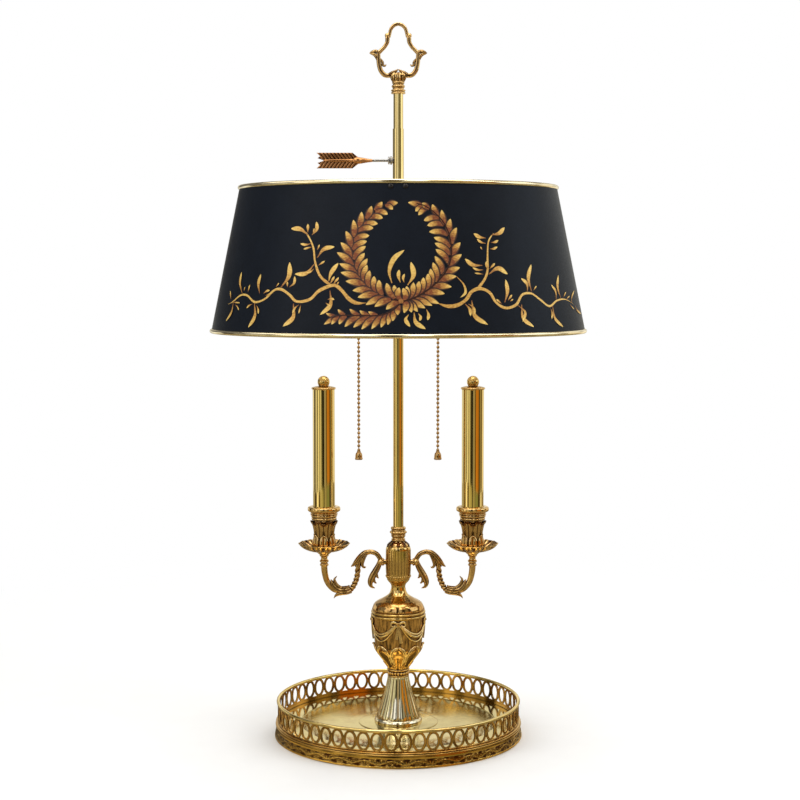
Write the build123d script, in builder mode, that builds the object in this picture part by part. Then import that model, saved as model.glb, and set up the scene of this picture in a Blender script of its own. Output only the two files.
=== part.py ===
from build123d import *
from math import cos, radians, sin, sqrt
import os

# Bouillotte lamp, in millimetres. +Z is up, -Y is the front, and the origin is the centre
# of the base's underside. Every height above the base is reached by adding up the pieces
# of the stack, so a change to one piece moves all that stands on it.

# --- Fits ------------------------------------------------------------------------------------
running_clearance = 0.06    # radial, where one piece slides or turns on another
seat_clearance = 0.05       # radial, where a fixed piece is pushed into another
loose_clearance = 0.1       # radial, where the stacked pieces pass over the central pipe

# --- Base and tray ---------------------------------------------------------------------------
foot_radius = 124.8
foot_taper = 1.6
foot_wall = 2.0
foot_height = 10.4
foot_floor_gap = 0.3
felt_thickness = 1.2
felt_margin = 4.2
ledge_width = 17.2
ledge_thickness = 1.2
weight_margin = 13.2
weight_hole_radius = 20.0
lead_channel_width = 9.0
lead_channel_height = 5.6
plate_thickness = 1.4
plate_inset = 1.0
border_width = 21.0
border_height = 0.8
moulding_height = 3.4
moulding_width = 4.2
gallery_wall = 1.4
gallery_setback = 0.6       # from the moulding's inner edge
gallery_height = 19.0
gallery_oval_count = 57
gallery_oval_fill = 0.68     # an oval's width over the distance between two
gallery_oval_margin = 2.4
gallery_spandrel_size = 2.4
rail_radius = 1.7
rail_groove_depth = 0.9
bushing_radius = 2.8
bushing_flange_radius = 4.0
bushing_flange_thickness = 0.6
bushing_height = 5.4

# --- Central pipe and what clamps the stack --------------------------------------------------
pipe_radius = 4.2
pipe_bore_radius = 2.9
pipe_grip = 14.0
washer_radius = 16.0
washer_thickness = 1.2
nut_flats = 14.0
nut_thickness = 2.6
pipe_end_below_nut = 0.2
lead_radius = 1.3
lead_bend_radius = 3.6
lead_floor_gap = 0.3

# --- Pedestal, urn and hub -------------------------------------------------------------------
skirt_radius = 40.0
skirt_height = 1.0
pedestal_foot_radius = 24.0
pedestal_waist_share = 0.50  # of the way from the neck's radius to the foot's
pedestal_neck_radius = 10.8
pedestal_height = 46.7
flute_count = 16
flute_radius = 1.7
collar_radius = 11.6
collar_height = 7.5
urn_radius = 26.6
urn_height = 53.5
urn_wall = 1.8
urn_ring_radius = 27.7
urn_ring_height = 6.0
cover_height = 14.0
neck_radius = 6.6
hub_base_height = 18.2
hub_radius = 12.8
hub_height = 32.8
hub_rib_count = 20
hub_groove_radius = 0.5
hub_cap_height = 5.0
column_collar_radius = 8.2
column_collar_height = 14.5
column_seat_depth = 12.0

# --- Column, light cluster and sockets -------------------------------------------------------
column_wall = 0.95
column_length = 269.0
cluster_radius = 14.0
cluster_height = 24.0
cluster_seat = 8.0
cluster_cavity_radius = 9.0
cluster_cap_height = 8.0
nipple_radius = 4.0
nipple_bore_radius = 2.6
nipple_length = 15.0
socket_radius = 17.0
socket_wall = 0.7
socket_cap_length = 14.0
socket_shell_length = 45.0
core_radius = 14.5
core_length = 25.0
bulb_cap_radius = 13.1
bulb_cap_length = 20.5
bulb_neck_radius = 12.4
bulb_radius = 24.0
bulb_length = 71.0
bulb_wall = 0.8

# --- Pull chains -----------------------------------------------------------------------------
chain_offset = 39.5
bead_radius = 1.6
bead_pitch = 4.29
bead_link_radius = 0.55
stub_bead_count = 3
chain_bead_count = 37
connector_radius = 2.2
connector_height = 5.0
chain_joint_gap = 0.4
chain_guide_wall = 0.9
chain_guide_length = 6.0
chain_guide_clearance = 0.7
bell_radius = 3.9
bell_height = 9.0

# --- Candle arms -----------------------------------------------------------------------------
candle_offset = 74.5
arm_radius = 3.4
arm_height_on_hub = 16.3
arm_drop = 29.2
arm_rise = 10.6
arm_inner_x = 17.8
arm_rise_foot_x = 45.0
arm_rise_top_x = 37.6
arm_outer_bend = 16.0
arm_rise_bend = 14.0
arm_top_bend = 9.0
arm_ball_radius = 3.8
arm_stub_radius = 2.5
arm_stub_depth = 6.0
arm_top_drop = 4.0          # from the hub's arm holes down to the tops of the arms' tubes
ornament_thickness = 4.0
pan_collar_radius = 5.0
pan_collar_height = 15.0
pan_radius = 26.4
pan_height = 8.6
pan_thickness = 1.4
pan_lobe_count = 12
cup_radius = 16.6
cup_waist_radius = 9.4
cup_height = 44.0
cup_bore_depth = 7.4
candle_radius = 11.0
candle_wall = 0.7
candle_length = 125.0
candle_cap_radius = 12.2
candle_cap_thickness = 3.2
candle_plug_depth = 4.0
candle_ball_radius = 6.1
candle_ball_height = 10.4
candle_rod_radius = 2.0
candle_rod_overlap = 8.0
candle_rod_in_ball = 3.0

# --- Guide rod, sleeve, key and finial -------------------------------------------------------
rod_radius = 4.8
rod_wall = 1.2
rod_length = 163.0
sleeve_radius = 5.45
sleeve_length = 76.7
sleeve_top_gap = 34.0       # from the sleeve's top to the finial's collar
sleeve_flange_radius = 8.0
sleeve_flange_height = 3.0
spider_above_sleeve_foot = 6.0
spider_boss_radius = 9.5
spider_boss_height = 10.0
sleeve_nut_height = 3.0
axial_gap = 0.1
key_below_sleeve_top = 31.0
key_boss_radius = 4.3
key_boss_end = 10.4
key_screw_radius = 1.5
key_shank_radius = 1.3
key_tip_gap = 0.1
key_taper_start = 25.0
key_vane_start = 44.0
key_vane_end = 80.7
key_vane_width = 16.4
key_vane_thickness = 3.0
key_vane_count = 4
key_quill_radius = 2.2
finial_seat_depth = 6.5
finial_collar_radius = 7.3
finial_collar_height = 13.6
finial_stem_radius = 2.4
finial_stem_depth = 4.0
finial_loop_width = 5.4
finial_loop_depth = 5.4

# --- Shade -----------------------------------------------------------------------------------
shade_top_half_width = 156.5
shade_bottom_half_width = 185.2
shade_oval_ratio = 0.82     # depth over width
shade_height = 140.6
shade_wall = 0.8
shade_rim_radius = 2.2
shade_top_over_spider = 7.6
spider_arm_angles = (-90.0, 30.0, 150.0)
spider_arm_width = 10.0
spider_arm_thickness = 1.8
spider_tab_width = 24.0
spider_tab_height = 10.0
spider_tab_thickness = 3.0
screw_spacing = 13.5
screw_radius = 1.3
screw_head_radius = 2.5
screw_head_height = 1.5
screw_drop = 4.5            # from the shade's top rim to the screws

# --- Heights of the stack --------------------------------------------------------------------
plate_bottom_z = foot_height
plate_top_z = plate_bottom_z + plate_thickness
moulding_top_z = plate_top_z + moulding_height
gallery_top_z = moulding_top_z + gallery_height
skirt_top_z = plate_top_z + skirt_height
pedestal_top_z = skirt_top_z + pedestal_height
urn_bottom_z = pedestal_top_z + collar_height
urn_top_z = urn_bottom_z + urn_height
cover_bottom_z = urn_top_z + urn_ring_height
cover_top_z = cover_bottom_z + cover_height
hub_bottom_z = cover_top_z + hub_base_height
hub_top_z = hub_bottom_z + hub_height
hub_cap_top_z = hub_top_z + hub_cap_height
column_collar_top_z = hub_cap_top_z + column_collar_height
column_bottom_z = column_collar_top_z - column_seat_depth
column_top_z = column_bottom_z + column_length
pipe_top_z = column_bottom_z + pipe_grip
cluster_bottom_z = column_top_z - cluster_seat
cluster_top_z = cluster_bottom_z + cluster_height
cluster_cap_top_z = cluster_top_z + cluster_cap_height
socket_z = (column_top_z + cluster_top_z) / 2
rod_bottom_z = cluster_top_z
rod_top_z = rod_bottom_z + rod_length
finial_bottom_z = rod_top_z - finial_seat_depth
finial_collar_top_z = finial_bottom_z + finial_collar_height
sleeve_top_z = finial_bottom_z - sleeve_top_gap
sleeve_bottom_z = sleeve_top_z - sleeve_length
key_z = sleeve_top_z - key_below_sleeve_top
spider_bottom_z = sleeve_bottom_z + spider_above_sleeve_foot
spider_top_z = spider_bottom_z + spider_boss_height
shade_top_z = (spider_bottom_z + spider_top_z) / 2 + shade_top_over_spider
shade_bottom_z = shade_top_z - shade_height
arm_root_z = hub_bottom_z + arm_height_on_hub
arm_top_z = arm_root_z - arm_top_drop
pan_bottom_z = arm_top_z + pan_collar_height

pipe_hole_radius = pipe_radius + loose_clearance
column_bore_radius = pipe_radius + seat_clearance
column_radius = column_bore_radius + column_wall
candle_rod_hole_radius = candle_rod_radius + seat_clearance
sides = {"left": -1, "right": 1}


def save(piece, name):
    """Label a finished sub-part and write its STEP file."""
    piece.part.label = name
    export_step(piece.part, f"parts/{name}.step")


def turned_face(outline, bore):
    """Return the face between a curve through (radius, height) points and a bore."""
    with BuildSketch(Plane.XY) as section:
        with BuildLine():
            Spline(*outline)
            Polyline(outline[-1], (bore, outline[-1][1]), (bore, outline[0][1]), outline[0])
        make_face()
    return section.sketch_local


def stepped_face(*corners):
    """Return a straight-sided face from its (radius, height) corners."""
    with BuildSketch(Plane.XY) as section:
        with BuildLine():
            Polyline(*corners, close=True)
        make_face()
    return section.sketch_local


def ring_face(inner, outer, bottom, top):
    """Return the rectangular section of a plain ring."""
    return stepped_face((inner, bottom), (outer, bottom), (outer, top), (inner, top))


def shade_half_width(height):
    """Return the half width of the shade's outer face at a height."""
    share = (height - shade_bottom_z) / shade_height
    return shade_bottom_half_width + share * (shade_top_half_width - shade_bottom_half_width)


os.makedirs("parts", exist_ok=True)

# --- Base ------------------------------------------------------------------------------------
foot_top_radius = foot_radius - foot_taper
foot_inner_radius = foot_top_radius - foot_wall
ledge_bottom_z = felt_thickness
ledge_top_z = ledge_bottom_z + ledge_thickness
weight_radius = foot_inner_radius - weight_margin

with BuildPart() as felt_pad:
    with BuildSketch():
        Circle(foot_inner_radius - felt_margin)
    extrude(amount=felt_thickness)
save(felt_pad, "felt_pad")

# The band's outer wall leans in, its ledge carries the weight, and the cord's bushing has a
# hole and a flat seat at the back.
with BuildPart() as foot_band:
    with BuildSketch(Plane.XZ):
        add(stepped_face(
            (foot_inner_radius, foot_floor_gap),
            (foot_radius, foot_floor_gap),
            (foot_top_radius, foot_height),
            (foot_inner_radius, foot_height),
            (foot_inner_radius, ledge_top_z),
            (foot_inner_radius - ledge_width, ledge_top_z),
            (foot_inner_radius - ledge_width, ledge_bottom_z),
            (foot_inner_radius, ledge_bottom_z),
        ))
    revolve(axis=Axis.Z)
    with BuildSketch(Plane.XZ.offset(-foot_radius)):
        with Locations((0, bushing_height)):
            Circle(bushing_radius + seat_clearance)
    extrude(amount=foot_wall * 3, mode=Mode.SUBTRACT)
    with BuildSketch(Plane.XZ.offset(-foot_top_radius)):
        with Locations((0, bushing_height)):
            Circle(bushing_flange_radius + seat_clearance)
    extrude(amount=-foot_wall, mode=Mode.SUBTRACT)
save(foot_band, "foot_band")

with BuildPart() as base_weight:
    with BuildSketch(Plane.XZ):
        add(ring_face(weight_hole_radius, weight_radius, ledge_top_z, plate_bottom_z))
    revolve(axis=Axis.Z)
    with BuildSketch(Plane.XY.offset(ledge_top_z)):
        with Locations((0, weight_radius)):
            Rectangle(lead_channel_width, 2 * weight_radius)
    extrude(amount=lead_channel_height, mode=Mode.SUBTRACT)
save(base_weight, "base_weight")

# The plate's rim is raised a little inside the gallery.
border_outer_radius = foot_top_radius - moulding_width
border_inner_radius = border_outer_radius - border_width
with BuildPart() as tray_plate:
    with BuildSketch(Plane.XZ):
        add(stepped_face(
            (pipe_hole_radius, plate_bottom_z),
            (foot_top_radius - plate_inset, plate_bottom_z),
            (foot_top_radius - plate_inset, plate_top_z),
            (border_outer_radius, plate_top_z),
            (border_outer_radius, plate_top_z + border_height),
            (border_inner_radius + border_height, plate_top_z + border_height),
            (border_inner_radius, plate_top_z),
            (pipe_hole_radius, plate_top_z),
        ))
    revolve(axis=Axis.Z)
save(tray_plate, "tray_plate")

moulding_outer_radius = foot_top_radius + foot_taper / 2
moulding_inner_radius = moulding_outer_radius - moulding_width
with BuildPart() as band_moulding:
    with BuildSketch(Plane.XZ):
        add(ring_face(moulding_inner_radius, moulding_outer_radius, plate_top_z, moulding_top_z))
    revolve(axis=Axis.Z)
    outer_edges = band_moulding.edges().filter_by(GeomType.CIRCLE).sort_by(SortBy.RADIUS)[-2:]
    fillet(outer_edges, moulding_height * 0.4)
save(band_moulding, "band_moulding")

# The gallery is a thin wall pierced by a ring of upright ovals, with a small opening above
# and below between each two of them.
gallery_inner_radius = moulding_inner_radius + gallery_setback
gallery_outer_radius = gallery_inner_radius + gallery_wall
gallery_middle_z = (moulding_top_z + gallery_top_z) / 2
oval_pitch_angle = 360 / gallery_oval_count
oval_pitch = 2 * gallery_outer_radius * sin(radians(oval_pitch_angle / 2))
oval_half_height = gallery_height / 2 - gallery_oval_margin
spandrel_offset = gallery_height / 2 - gallery_oval_margin - gallery_spandrel_size / 2


def gallery_planes(first_angle):
    """Return one upright plane per oval, just inside the gallery's wall."""
    angles = [first_angle + index * oval_pitch_angle for index in range(gallery_oval_count)]
    inside = gallery_inner_radius - gallery_wall
    return [Plane.XZ.rotated((0, 0, angle)).offset(inside) for angle in angles]


with BuildPart() as gallery:
    with BuildSketch(Plane.XZ):
        add(ring_face(gallery_inner_radius, gallery_outer_radius, moulding_top_z, gallery_top_z))
    revolve(axis=Axis.Z)
    with BuildSketch(*gallery_planes(oval_pitch_angle / 2)):
        with Locations((0, gallery_middle_z)):
            Ellipse(oval_pitch * gallery_oval_fill / 2, oval_half_height)
    extrude(amount=gallery_wall * 3, mode=Mode.SUBTRACT)
    with BuildSketch(*gallery_planes(0)):
        with Locations((0, gallery_middle_z - spandrel_offset), (0, gallery_middle_z + spandrel_offset)):
            Rectangle(gallery_spandrel_size, gallery_spandrel_size, rotation=45)
    extrude(amount=gallery_wall * 3, mode=Mode.SUBTRACT)
save(gallery, "gallery")

# The rolled rail is grooved underneath for the gallery's top edge.
rail_centre_radius = (gallery_inner_radius + gallery_outer_radius) / 2
rail_centre_z = gallery_top_z - rail_groove_depth + rail_radius
with BuildPart() as gallery_rail:
    with BuildSketch(Plane.XZ):
        with Locations((rail_centre_radius, rail_centre_z)):
            Circle(rail_radius)
        with Locations((rail_centre_radius, gallery_top_z - rail_radius)):
            Rectangle(gallery_wall, 2 * rail_radius, mode=Mode.SUBTRACT)
    revolve(axis=Axis.Z)
save(gallery_rail, "gallery_rail")

bushing_start_y = foot_inner_radius - foot_wall
with BuildPart() as cord_bushing:
    with BuildSketch(Plane.XZ.offset(-bushing_start_y)):
        with Locations((0, bushing_height)):
            Circle(bushing_radius)
    extrude(amount=-(foot_top_radius - bushing_start_y))
    with BuildSketch(Plane.XZ.offset(-foot_top_radius)):
        with Locations((0, bushing_height)):
            Circle(bushing_flange_radius)
    extrude(amount=-bushing_flange_thickness)
    with BuildSketch(Plane.XZ.offset(-foot_radius)):
        with Locations((0, bushing_height)):
            Circle(lead_radius + seat_clearance)
    extrude(amount=foot_wall * 6, mode=Mode.SUBTRACT)
save(cord_bushing, "cord_bushing")

# --- Central pipe, washer, nut and lead ------------------------------------------------------
washer_bottom_z = plate_bottom_z - washer_thickness
nut_bottom_z = washer_bottom_z - nut_thickness
pipe_bottom_z = nut_bottom_z - pipe_end_below_nut

with BuildPart() as base_washer:
    with BuildSketch(Plane.XY.offset(washer_bottom_z)):
        Circle(washer_radius)
        Circle(pipe_hole_radius, mode=Mode.SUBTRACT)
    extrude(amount=washer_thickness)
save(base_washer, "base_washer")

with BuildPart() as base_nut:
    with BuildSketch(Plane.XY.offset(nut_bottom_z)):
        RegularPolygon(nut_flats / 2, 6, major_radius=False)
        Circle(pipe_radius + seat_clearance, mode=Mode.SUBTRACT)
    extrude(amount=nut_thickness)
save(base_nut, "base_nut")

with BuildPart() as threaded_pipe:
    with BuildSketch(Plane.XY.offset(pipe_bottom_z)):
        Circle(pipe_radius)
        Circle(pipe_bore_radius, mode=Mode.SUBTRACT)
    extrude(amount=pipe_top_z - pipe_bottom_z)
save(threaded_pipe, "threaded_pipe")

# The lead drops down the pipe, turns under its end and runs in the weight's channel.
lead_low_z = felt_thickness + lead_floor_gap + lead_radius
lead_end_y = foot_inner_radius - foot_wall - seat_clearance
lead_rise_y = weight_radius - lead_channel_width
with BuildPart() as supply_lead:
    with BuildLine(Plane.YZ) as lead_route:
        FilletPolyline(
            (0, socket_z),
            (0, lead_low_z),
            (lead_rise_y / 2, lead_low_z),
            (lead_rise_y, bushing_height),
            (lead_end_y, bushing_height),
            radius=[lead_bend_radius, 20 * lead_bend_radius, 20 * lead_bend_radius],
        )
    with BuildSketch(Plane.XY.offset(socket_z)):
        Circle(lead_radius)
    sweep(path=lead_route.wires()[0])
save(supply_lead, "supply_lead")

# --- Pedestal --------------------------------------------------------------------------------
with BuildPart() as pedestal_skirt:
    with BuildSketch(Plane.XZ):
        add(turned_face(
            [
                (skirt_radius, plate_top_z),
                (skirt_radius * 0.985, plate_top_z + skirt_height * 0.3),
                (skirt_radius * 0.82, plate_top_z + skirt_height * 0.62),
                (pedestal_foot_radius + 1.0, skirt_top_z),
            ],
            pipe_hole_radius,
        ))
    revolve(axis=Axis.Z)
save(pedestal_skirt, "pedestal_skirt")

pedestal_waist = (
    pedestal_neck_radius + (pedestal_foot_radius - pedestal_neck_radius) * pedestal_waist_share,
    skirt_top_z + pedestal_height * 0.42,
)
pedestal_foot = (pedestal_foot_radius, skirt_top_z)
pedestal_neck = (pedestal_neck_radius, pedestal_top_z)
flute_low = (pedestal_foot_radius - 1.0, skirt_top_z + 3.5)
flute_waist = (pedestal_waist[0] + 0.9, pedestal_waist[1])
flute_high = (pedestal_neck_radius + 1.0, pedestal_top_z - 3.0)
with BuildPart() as flute:
    with BuildLine(Plane.XZ) as flute_route:
        ThreePointArc(flute_low, flute_waist, flute_high)
    with BuildSketch(Plane(flute_route.line @ 0, z_dir=flute_route.line % 0)):
        Circle(flute_radius)
    sweep()
    with Locations(flute_route.line @ 0, flute_route.line @ 1):
        Sphere(flute_radius)
with BuildPart() as pedestal:
    with BuildSketch(Plane.XZ):
        with BuildLine():
            ThreePointArc(pedestal_foot, pedestal_waist, pedestal_neck)
            Polyline(
                pedestal_neck,
                (pipe_hole_radius, pedestal_top_z),
                (pipe_hole_radius, skirt_top_z),
                pedestal_foot,
            )
        make_face()
    revolve(axis=Axis.Z)
    with PolarLocations(0, flute_count):
        add(flute.part, mode=Mode.SUBTRACT)
save(pedestal, "pedestal")

collar_step = collar_height / 4
with BuildPart() as pedestal_collar:
    with BuildSketch(Plane.XZ):
        add(turned_face(
            [
                (pedestal_neck_radius - 0.8, pedestal_top_z),
                (collar_radius - 1.4, pedestal_top_z + collar_step * 1.3),
                (collar_radius, pedestal_top_z + collar_step * 2),
                (collar_radius - 0.6, pedestal_top_z + collar_step * 3),
                (collar_radius, urn_bottom_z),
            ],
            pipe_hole_radius,
        ))
    revolve(axis=Axis.Z)
save(pedestal_collar, "pedestal_collar")

# --- Urn -------------------------------------------------------------------------------------
# Outline of the urn as shares of its radius and of its height above the collar.
urn_shape = [(0.40, 0.0), (0.44, 0.06), (0.61, 0.175), (0.77, 0.285), (0.9, 0.385), (0.94, 0.55), (1.0, 1.0)]
urn_outline = [(urn_radius * across, urn_bottom_z + urn_height * up) for across, up in urn_shape]
urn_cavity = [(radius - urn_wall, height) for radius, height in urn_outline[2:]]
with BuildPart() as urn_body:
    with BuildSketch(Plane.XZ):
        add(turned_face(urn_outline, pipe_hole_radius))
        with BuildLine():
            Spline(*urn_cavity)
            Polyline(
                urn_cavity[-1],
                (urn_cavity[-1][0], urn_top_z + urn_wall),
                (pipe_hole_radius - urn_wall, urn_top_z + urn_wall),
                (pipe_hole_radius - urn_wall, urn_cavity[0][1]),
                urn_cavity[0],
            )
        make_face(mode=Mode.SUBTRACT)
    revolve(axis=Axis.Z)
save(urn_body, "urn_body")

with BuildPart() as urn_ring:
    with BuildSketch(Plane.XZ):
        add(ring_face(pipe_hole_radius, urn_ring_radius, urn_top_z, cover_bottom_z))
        with Locations((urn_ring_radius, (urn_top_z + cover_bottom_z) / 2)):
            Circle(urn_ring_height * 0.12, mode=Mode.SUBTRACT)
    revolve(axis=Axis.Z)
save(urn_ring, "urn_ring")

cover_shape = [(0.97, 0.0), (0.95, 0.25), (0.85, 0.5), (0.74, 0.68), (0.54, 0.84), (0.42, 1.0)]
cover_outline = [(urn_radius * across, cover_bottom_z + cover_height * up) for across, up in cover_shape]
with BuildPart() as urn_cover:
    with BuildSketch(Plane.XZ):
        add(turned_face(cover_outline, pipe_hole_radius))
    revolve(axis=Axis.Z)
save(urn_cover, "urn_cover")

# --- Hub -------------------------------------------------------------------------------------
with BuildPart() as hub_base:
    with BuildSketch(Plane.XZ):
        add(turned_face(
            [
                (urn_radius * 0.42, cover_top_z),
                (urn_radius * 0.30, cover_top_z + hub_base_height * 0.21),
                (neck_radius, cover_top_z + hub_base_height * 0.55),
                (neck_radius * 1.12, cover_top_z + hub_base_height * 0.67),
                (hub_radius * 0.82, cover_top_z + hub_base_height * 0.89),
                (hub_radius * 0.94, hub_bottom_z),
            ],
            pipe_hole_radius,
        ))
    revolve(axis=Axis.Z)
save(hub_base, "hub_base")

with BuildPart() as arm_hub:
    with BuildSketch(Plane.XY.offset(hub_bottom_z)):
        Circle(hub_radius)
        with PolarLocations(hub_radius, hub_rib_count):
            Circle(hub_groove_radius, mode=Mode.SUBTRACT)
        Circle(pipe_hole_radius, mode=Mode.SUBTRACT)
    extrude(amount=hub_height)
    for side in sides.values():
        with BuildSketch(Plane.YZ.offset(side * (hub_radius - arm_stub_depth))):
            with Locations((0, arm_root_z)):
                Circle(arm_stub_radius + seat_clearance)
        extrude(amount=side * arm_stub_depth * 2, mode=Mode.SUBTRACT)
save(arm_hub, "arm_hub")

with BuildPart() as hub_cap:
    with BuildSketch(Plane.XZ):
        add(turned_face(
            [
                (hub_radius, hub_top_z),
                (hub_radius * 0.86, hub_top_z + hub_cap_height * 0.55),
                (column_collar_radius * 0.9, hub_cap_top_z),
            ],
            pipe_hole_radius,
        ))
    revolve(axis=Axis.Z)
save(hub_cap, "hub_cap")

# The collar's upper bore takes the column, and its lower bore the pipe.
with BuildPart() as column_collar:
    with BuildSketch(Plane.XZ):
        add(turned_face(
            [
                (column_collar_radius * 0.82, hub_cap_top_z),
                (column_collar_radius * 0.8, hub_cap_top_z + column_collar_height * 0.2),
                (column_collar_radius, hub_cap_top_z + column_collar_height * 0.6),
                (column_collar_radius * 0.86, column_collar_top_z),
            ],
            pipe_hole_radius,
        ))
    revolve(axis=Axis.Z)
    with BuildSketch(Plane.XY.offset(column_bottom_z)):
        Circle(column_radius + seat_clearance)
    extrude(amount=column_seat_depth, mode=Mode.SUBTRACT)
save(column_collar, "column_collar")

# --- Column and light cluster ----------------------------------------------------------------
with BuildPart() as column_tube:
    with BuildSketch(Plane.XY.offset(column_bottom_z)):
        Circle(column_radius)
        Circle(column_bore_radius, mode=Mode.SUBTRACT)
    extrude(amount=column_length)
save(column_tube, "column_tube")

with BuildPart() as cluster_body:
    with BuildSketch(Plane.XZ):
        add(stepped_face(
            (column_radius + seat_clearance, cluster_bottom_z),
            (cluster_radius * 0.65, cluster_bottom_z),
            (cluster_radius, cluster_bottom_z + cluster_height * 0.2),
            (cluster_radius, cluster_top_z),
            (cluster_cavity_radius, cluster_top_z),
            (cluster_cavity_radius, column_top_z),
            (column_radius + seat_clearance, column_top_z),
        ))
    revolve(axis=Axis.Z)
    with BuildSketch(Plane.YZ.offset(-cluster_radius)):
        with Locations((0, socket_z)):
            Circle(nipple_radius + seat_clearance)
    extrude(amount=2 * cluster_radius, mode=Mode.SUBTRACT)
save(cluster_body, "cluster_body")

with BuildPart() as cluster_cap:
    with BuildSketch(Plane.XZ):
        add(turned_face(
            [
                (cluster_radius, cluster_top_z),
                (cluster_radius * 0.93, cluster_top_z + cluster_cap_height * 0.4),
                (cluster_radius * 0.55, cluster_cap_top_z),
            ],
            rod_radius + seat_clearance,
        ))
    revolve(axis=Axis.Z)
save(cluster_cap, "cluster_cap")

# Sockets and bulbs are drawn for the right side, along +X, and mirrored to the left.
socket_cap_x = cluster_radius + 1.0
socket_shell_x = socket_cap_x + socket_cap_length
socket_shell_end_x = socket_shell_x + socket_shell_length
core_x = socket_shell_x + socket_wall
bulb_cap_x = core_x + core_length + axial_gap
bulb_x = bulb_cap_x + bulb_cap_length
socket_axis = Axis((0, 0, socket_z), (1, 0, 0))
nipple_x = cluster_cavity_radius + 0.5

with BuildPart() as socket_nipples:
    with BuildSketch(Plane.YZ.offset(nipple_x)):
        with Locations((0, socket_z)):
            Circle(nipple_radius)
            Circle(nipple_bore_radius, mode=Mode.SUBTRACT)
    extrude(amount=nipple_length)
    mirror(about=Plane.YZ)
save(socket_nipples, "socket_nipples")

socket_cap_slope = socket_cap_length * 0.75
with BuildPart() as socket_caps:
    with BuildSketch(Plane.XZ):
        add(stepped_face(
            (socket_cap_x, socket_z + nipple_radius + seat_clearance),
            (socket_cap_x, socket_z + socket_radius * 0.42),
            (socket_cap_x + socket_cap_slope, socket_z + socket_radius),
            (socket_shell_x, socket_z + socket_radius),
            (socket_shell_x, socket_z + socket_radius - socket_wall),
            (socket_cap_x + socket_cap_slope + socket_wall, socket_z + socket_radius - 2 * socket_wall),
            (socket_cap_x + 2 * socket_wall, socket_z + socket_radius * 0.42 - socket_wall),
            (socket_cap_x + 2 * socket_wall, socket_z + nipple_radius + seat_clearance),
        ))
    revolve(axis=socket_axis)
    mirror(about=Plane.YZ)
save(socket_caps, "socket_caps")

chain_hole_radius = bead_radius + chain_guide_clearance
guide_bottom_z = socket_z - socket_radius - chain_guide_length
with BuildPart() as socket_shells:
    with BuildSketch(Plane.YZ.offset(socket_shell_x)):
        with Locations((0, socket_z)):
            Circle(socket_radius)
    extrude(amount=socket_shell_length)
    with BuildSketch(Plane.XY.offset(guide_bottom_z)):
        with Locations((chain_offset, 0)):
            Circle(chain_hole_radius + chain_guide_wall)
    extrude(amount=chain_guide_length + socket_radius / 2)
    with BuildSketch(Plane.YZ.offset(socket_shell_x)):
        with Locations((0, socket_z)):
            Circle(socket_radius - socket_wall)
    extrude(amount=socket_shell_length, mode=Mode.SUBTRACT)
    with BuildSketch(Plane.XY.offset(guide_bottom_z)):
        with Locations((chain_offset, 0)):
            Circle(chain_hole_radius)
    extrude(amount=chain_guide_length + socket_radius / 2, mode=Mode.SUBTRACT)
    mirror(about=Plane.YZ)
save(socket_shells, "socket_shells")

with BuildPart() as socket_cores:
    with BuildSketch(Plane.YZ.offset(core_x)):
        with Locations((0, socket_z)):
            Circle(core_radius)
    extrude(amount=core_length)
    mirror(about=Plane.YZ)
save(socket_cores, "socket_cores")

with BuildPart() as bulb_caps:
    with BuildSketch(Plane.YZ.offset(bulb_cap_x)):
        with Locations((0, socket_z)):
            Circle(bulb_cap_radius)
    extrude(amount=bulb_cap_length)
    mirror(about=Plane.YZ)
save(bulb_caps, "bulb_caps")

# The glass is widest two thirds of the way to its tip, and opens into its metal cap.
with BuildPart() as bulbs:
    for glass_inset, glass_mode in ((0.0, Mode.ADD), (bulb_wall, Mode.SUBTRACT)):
        glass_end_x = bulb_x + bulb_length - glass_inset
        with BuildSketch(Plane.XZ):
            with BuildLine():
                Spline(
                    (bulb_x, socket_z + bulb_neck_radius - glass_inset),
                    (bulb_x + bulb_length * 0.2, socket_z + bulb_neck_radius * 1.12 - glass_inset),
                    (bulb_x + bulb_length * 0.66, socket_z + bulb_radius - glass_inset),
                    (glass_end_x, socket_z),
                    tangents=((1, 0), (0, -1)),
                )
                Polyline(
                    (glass_end_x, socket_z),
                    (bulb_x, socket_z),
                    (bulb_x, socket_z + bulb_neck_radius - glass_inset),
                )
            make_face()
        revolve(axis=socket_axis, mode=glass_mode)
    mirror(about=Plane.YZ)
save(bulbs, "bulbs")

# --- Pull chains -----------------------------------------------------------------------------
# Each chain has a short stub that the switch holds, then a coupling from which the rest hangs.
stub_top_z = socket_z - core_radius - axial_gap
stub_bead_z = [stub_top_z - bead_radius - bead_pitch * index for index in range(stub_bead_count)]
connector_top_z = stub_bead_z[-1] - bead_radius
connector_bottom_z = connector_top_z - connector_height
chain_top_z = connector_bottom_z - chain_joint_gap
chain_bead_z = [chain_top_z - bead_radius - bead_pitch * index for index in range(chain_bead_count)]
bell_top_z = chain_bead_z[-1] - bead_radius * 0.4

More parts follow.
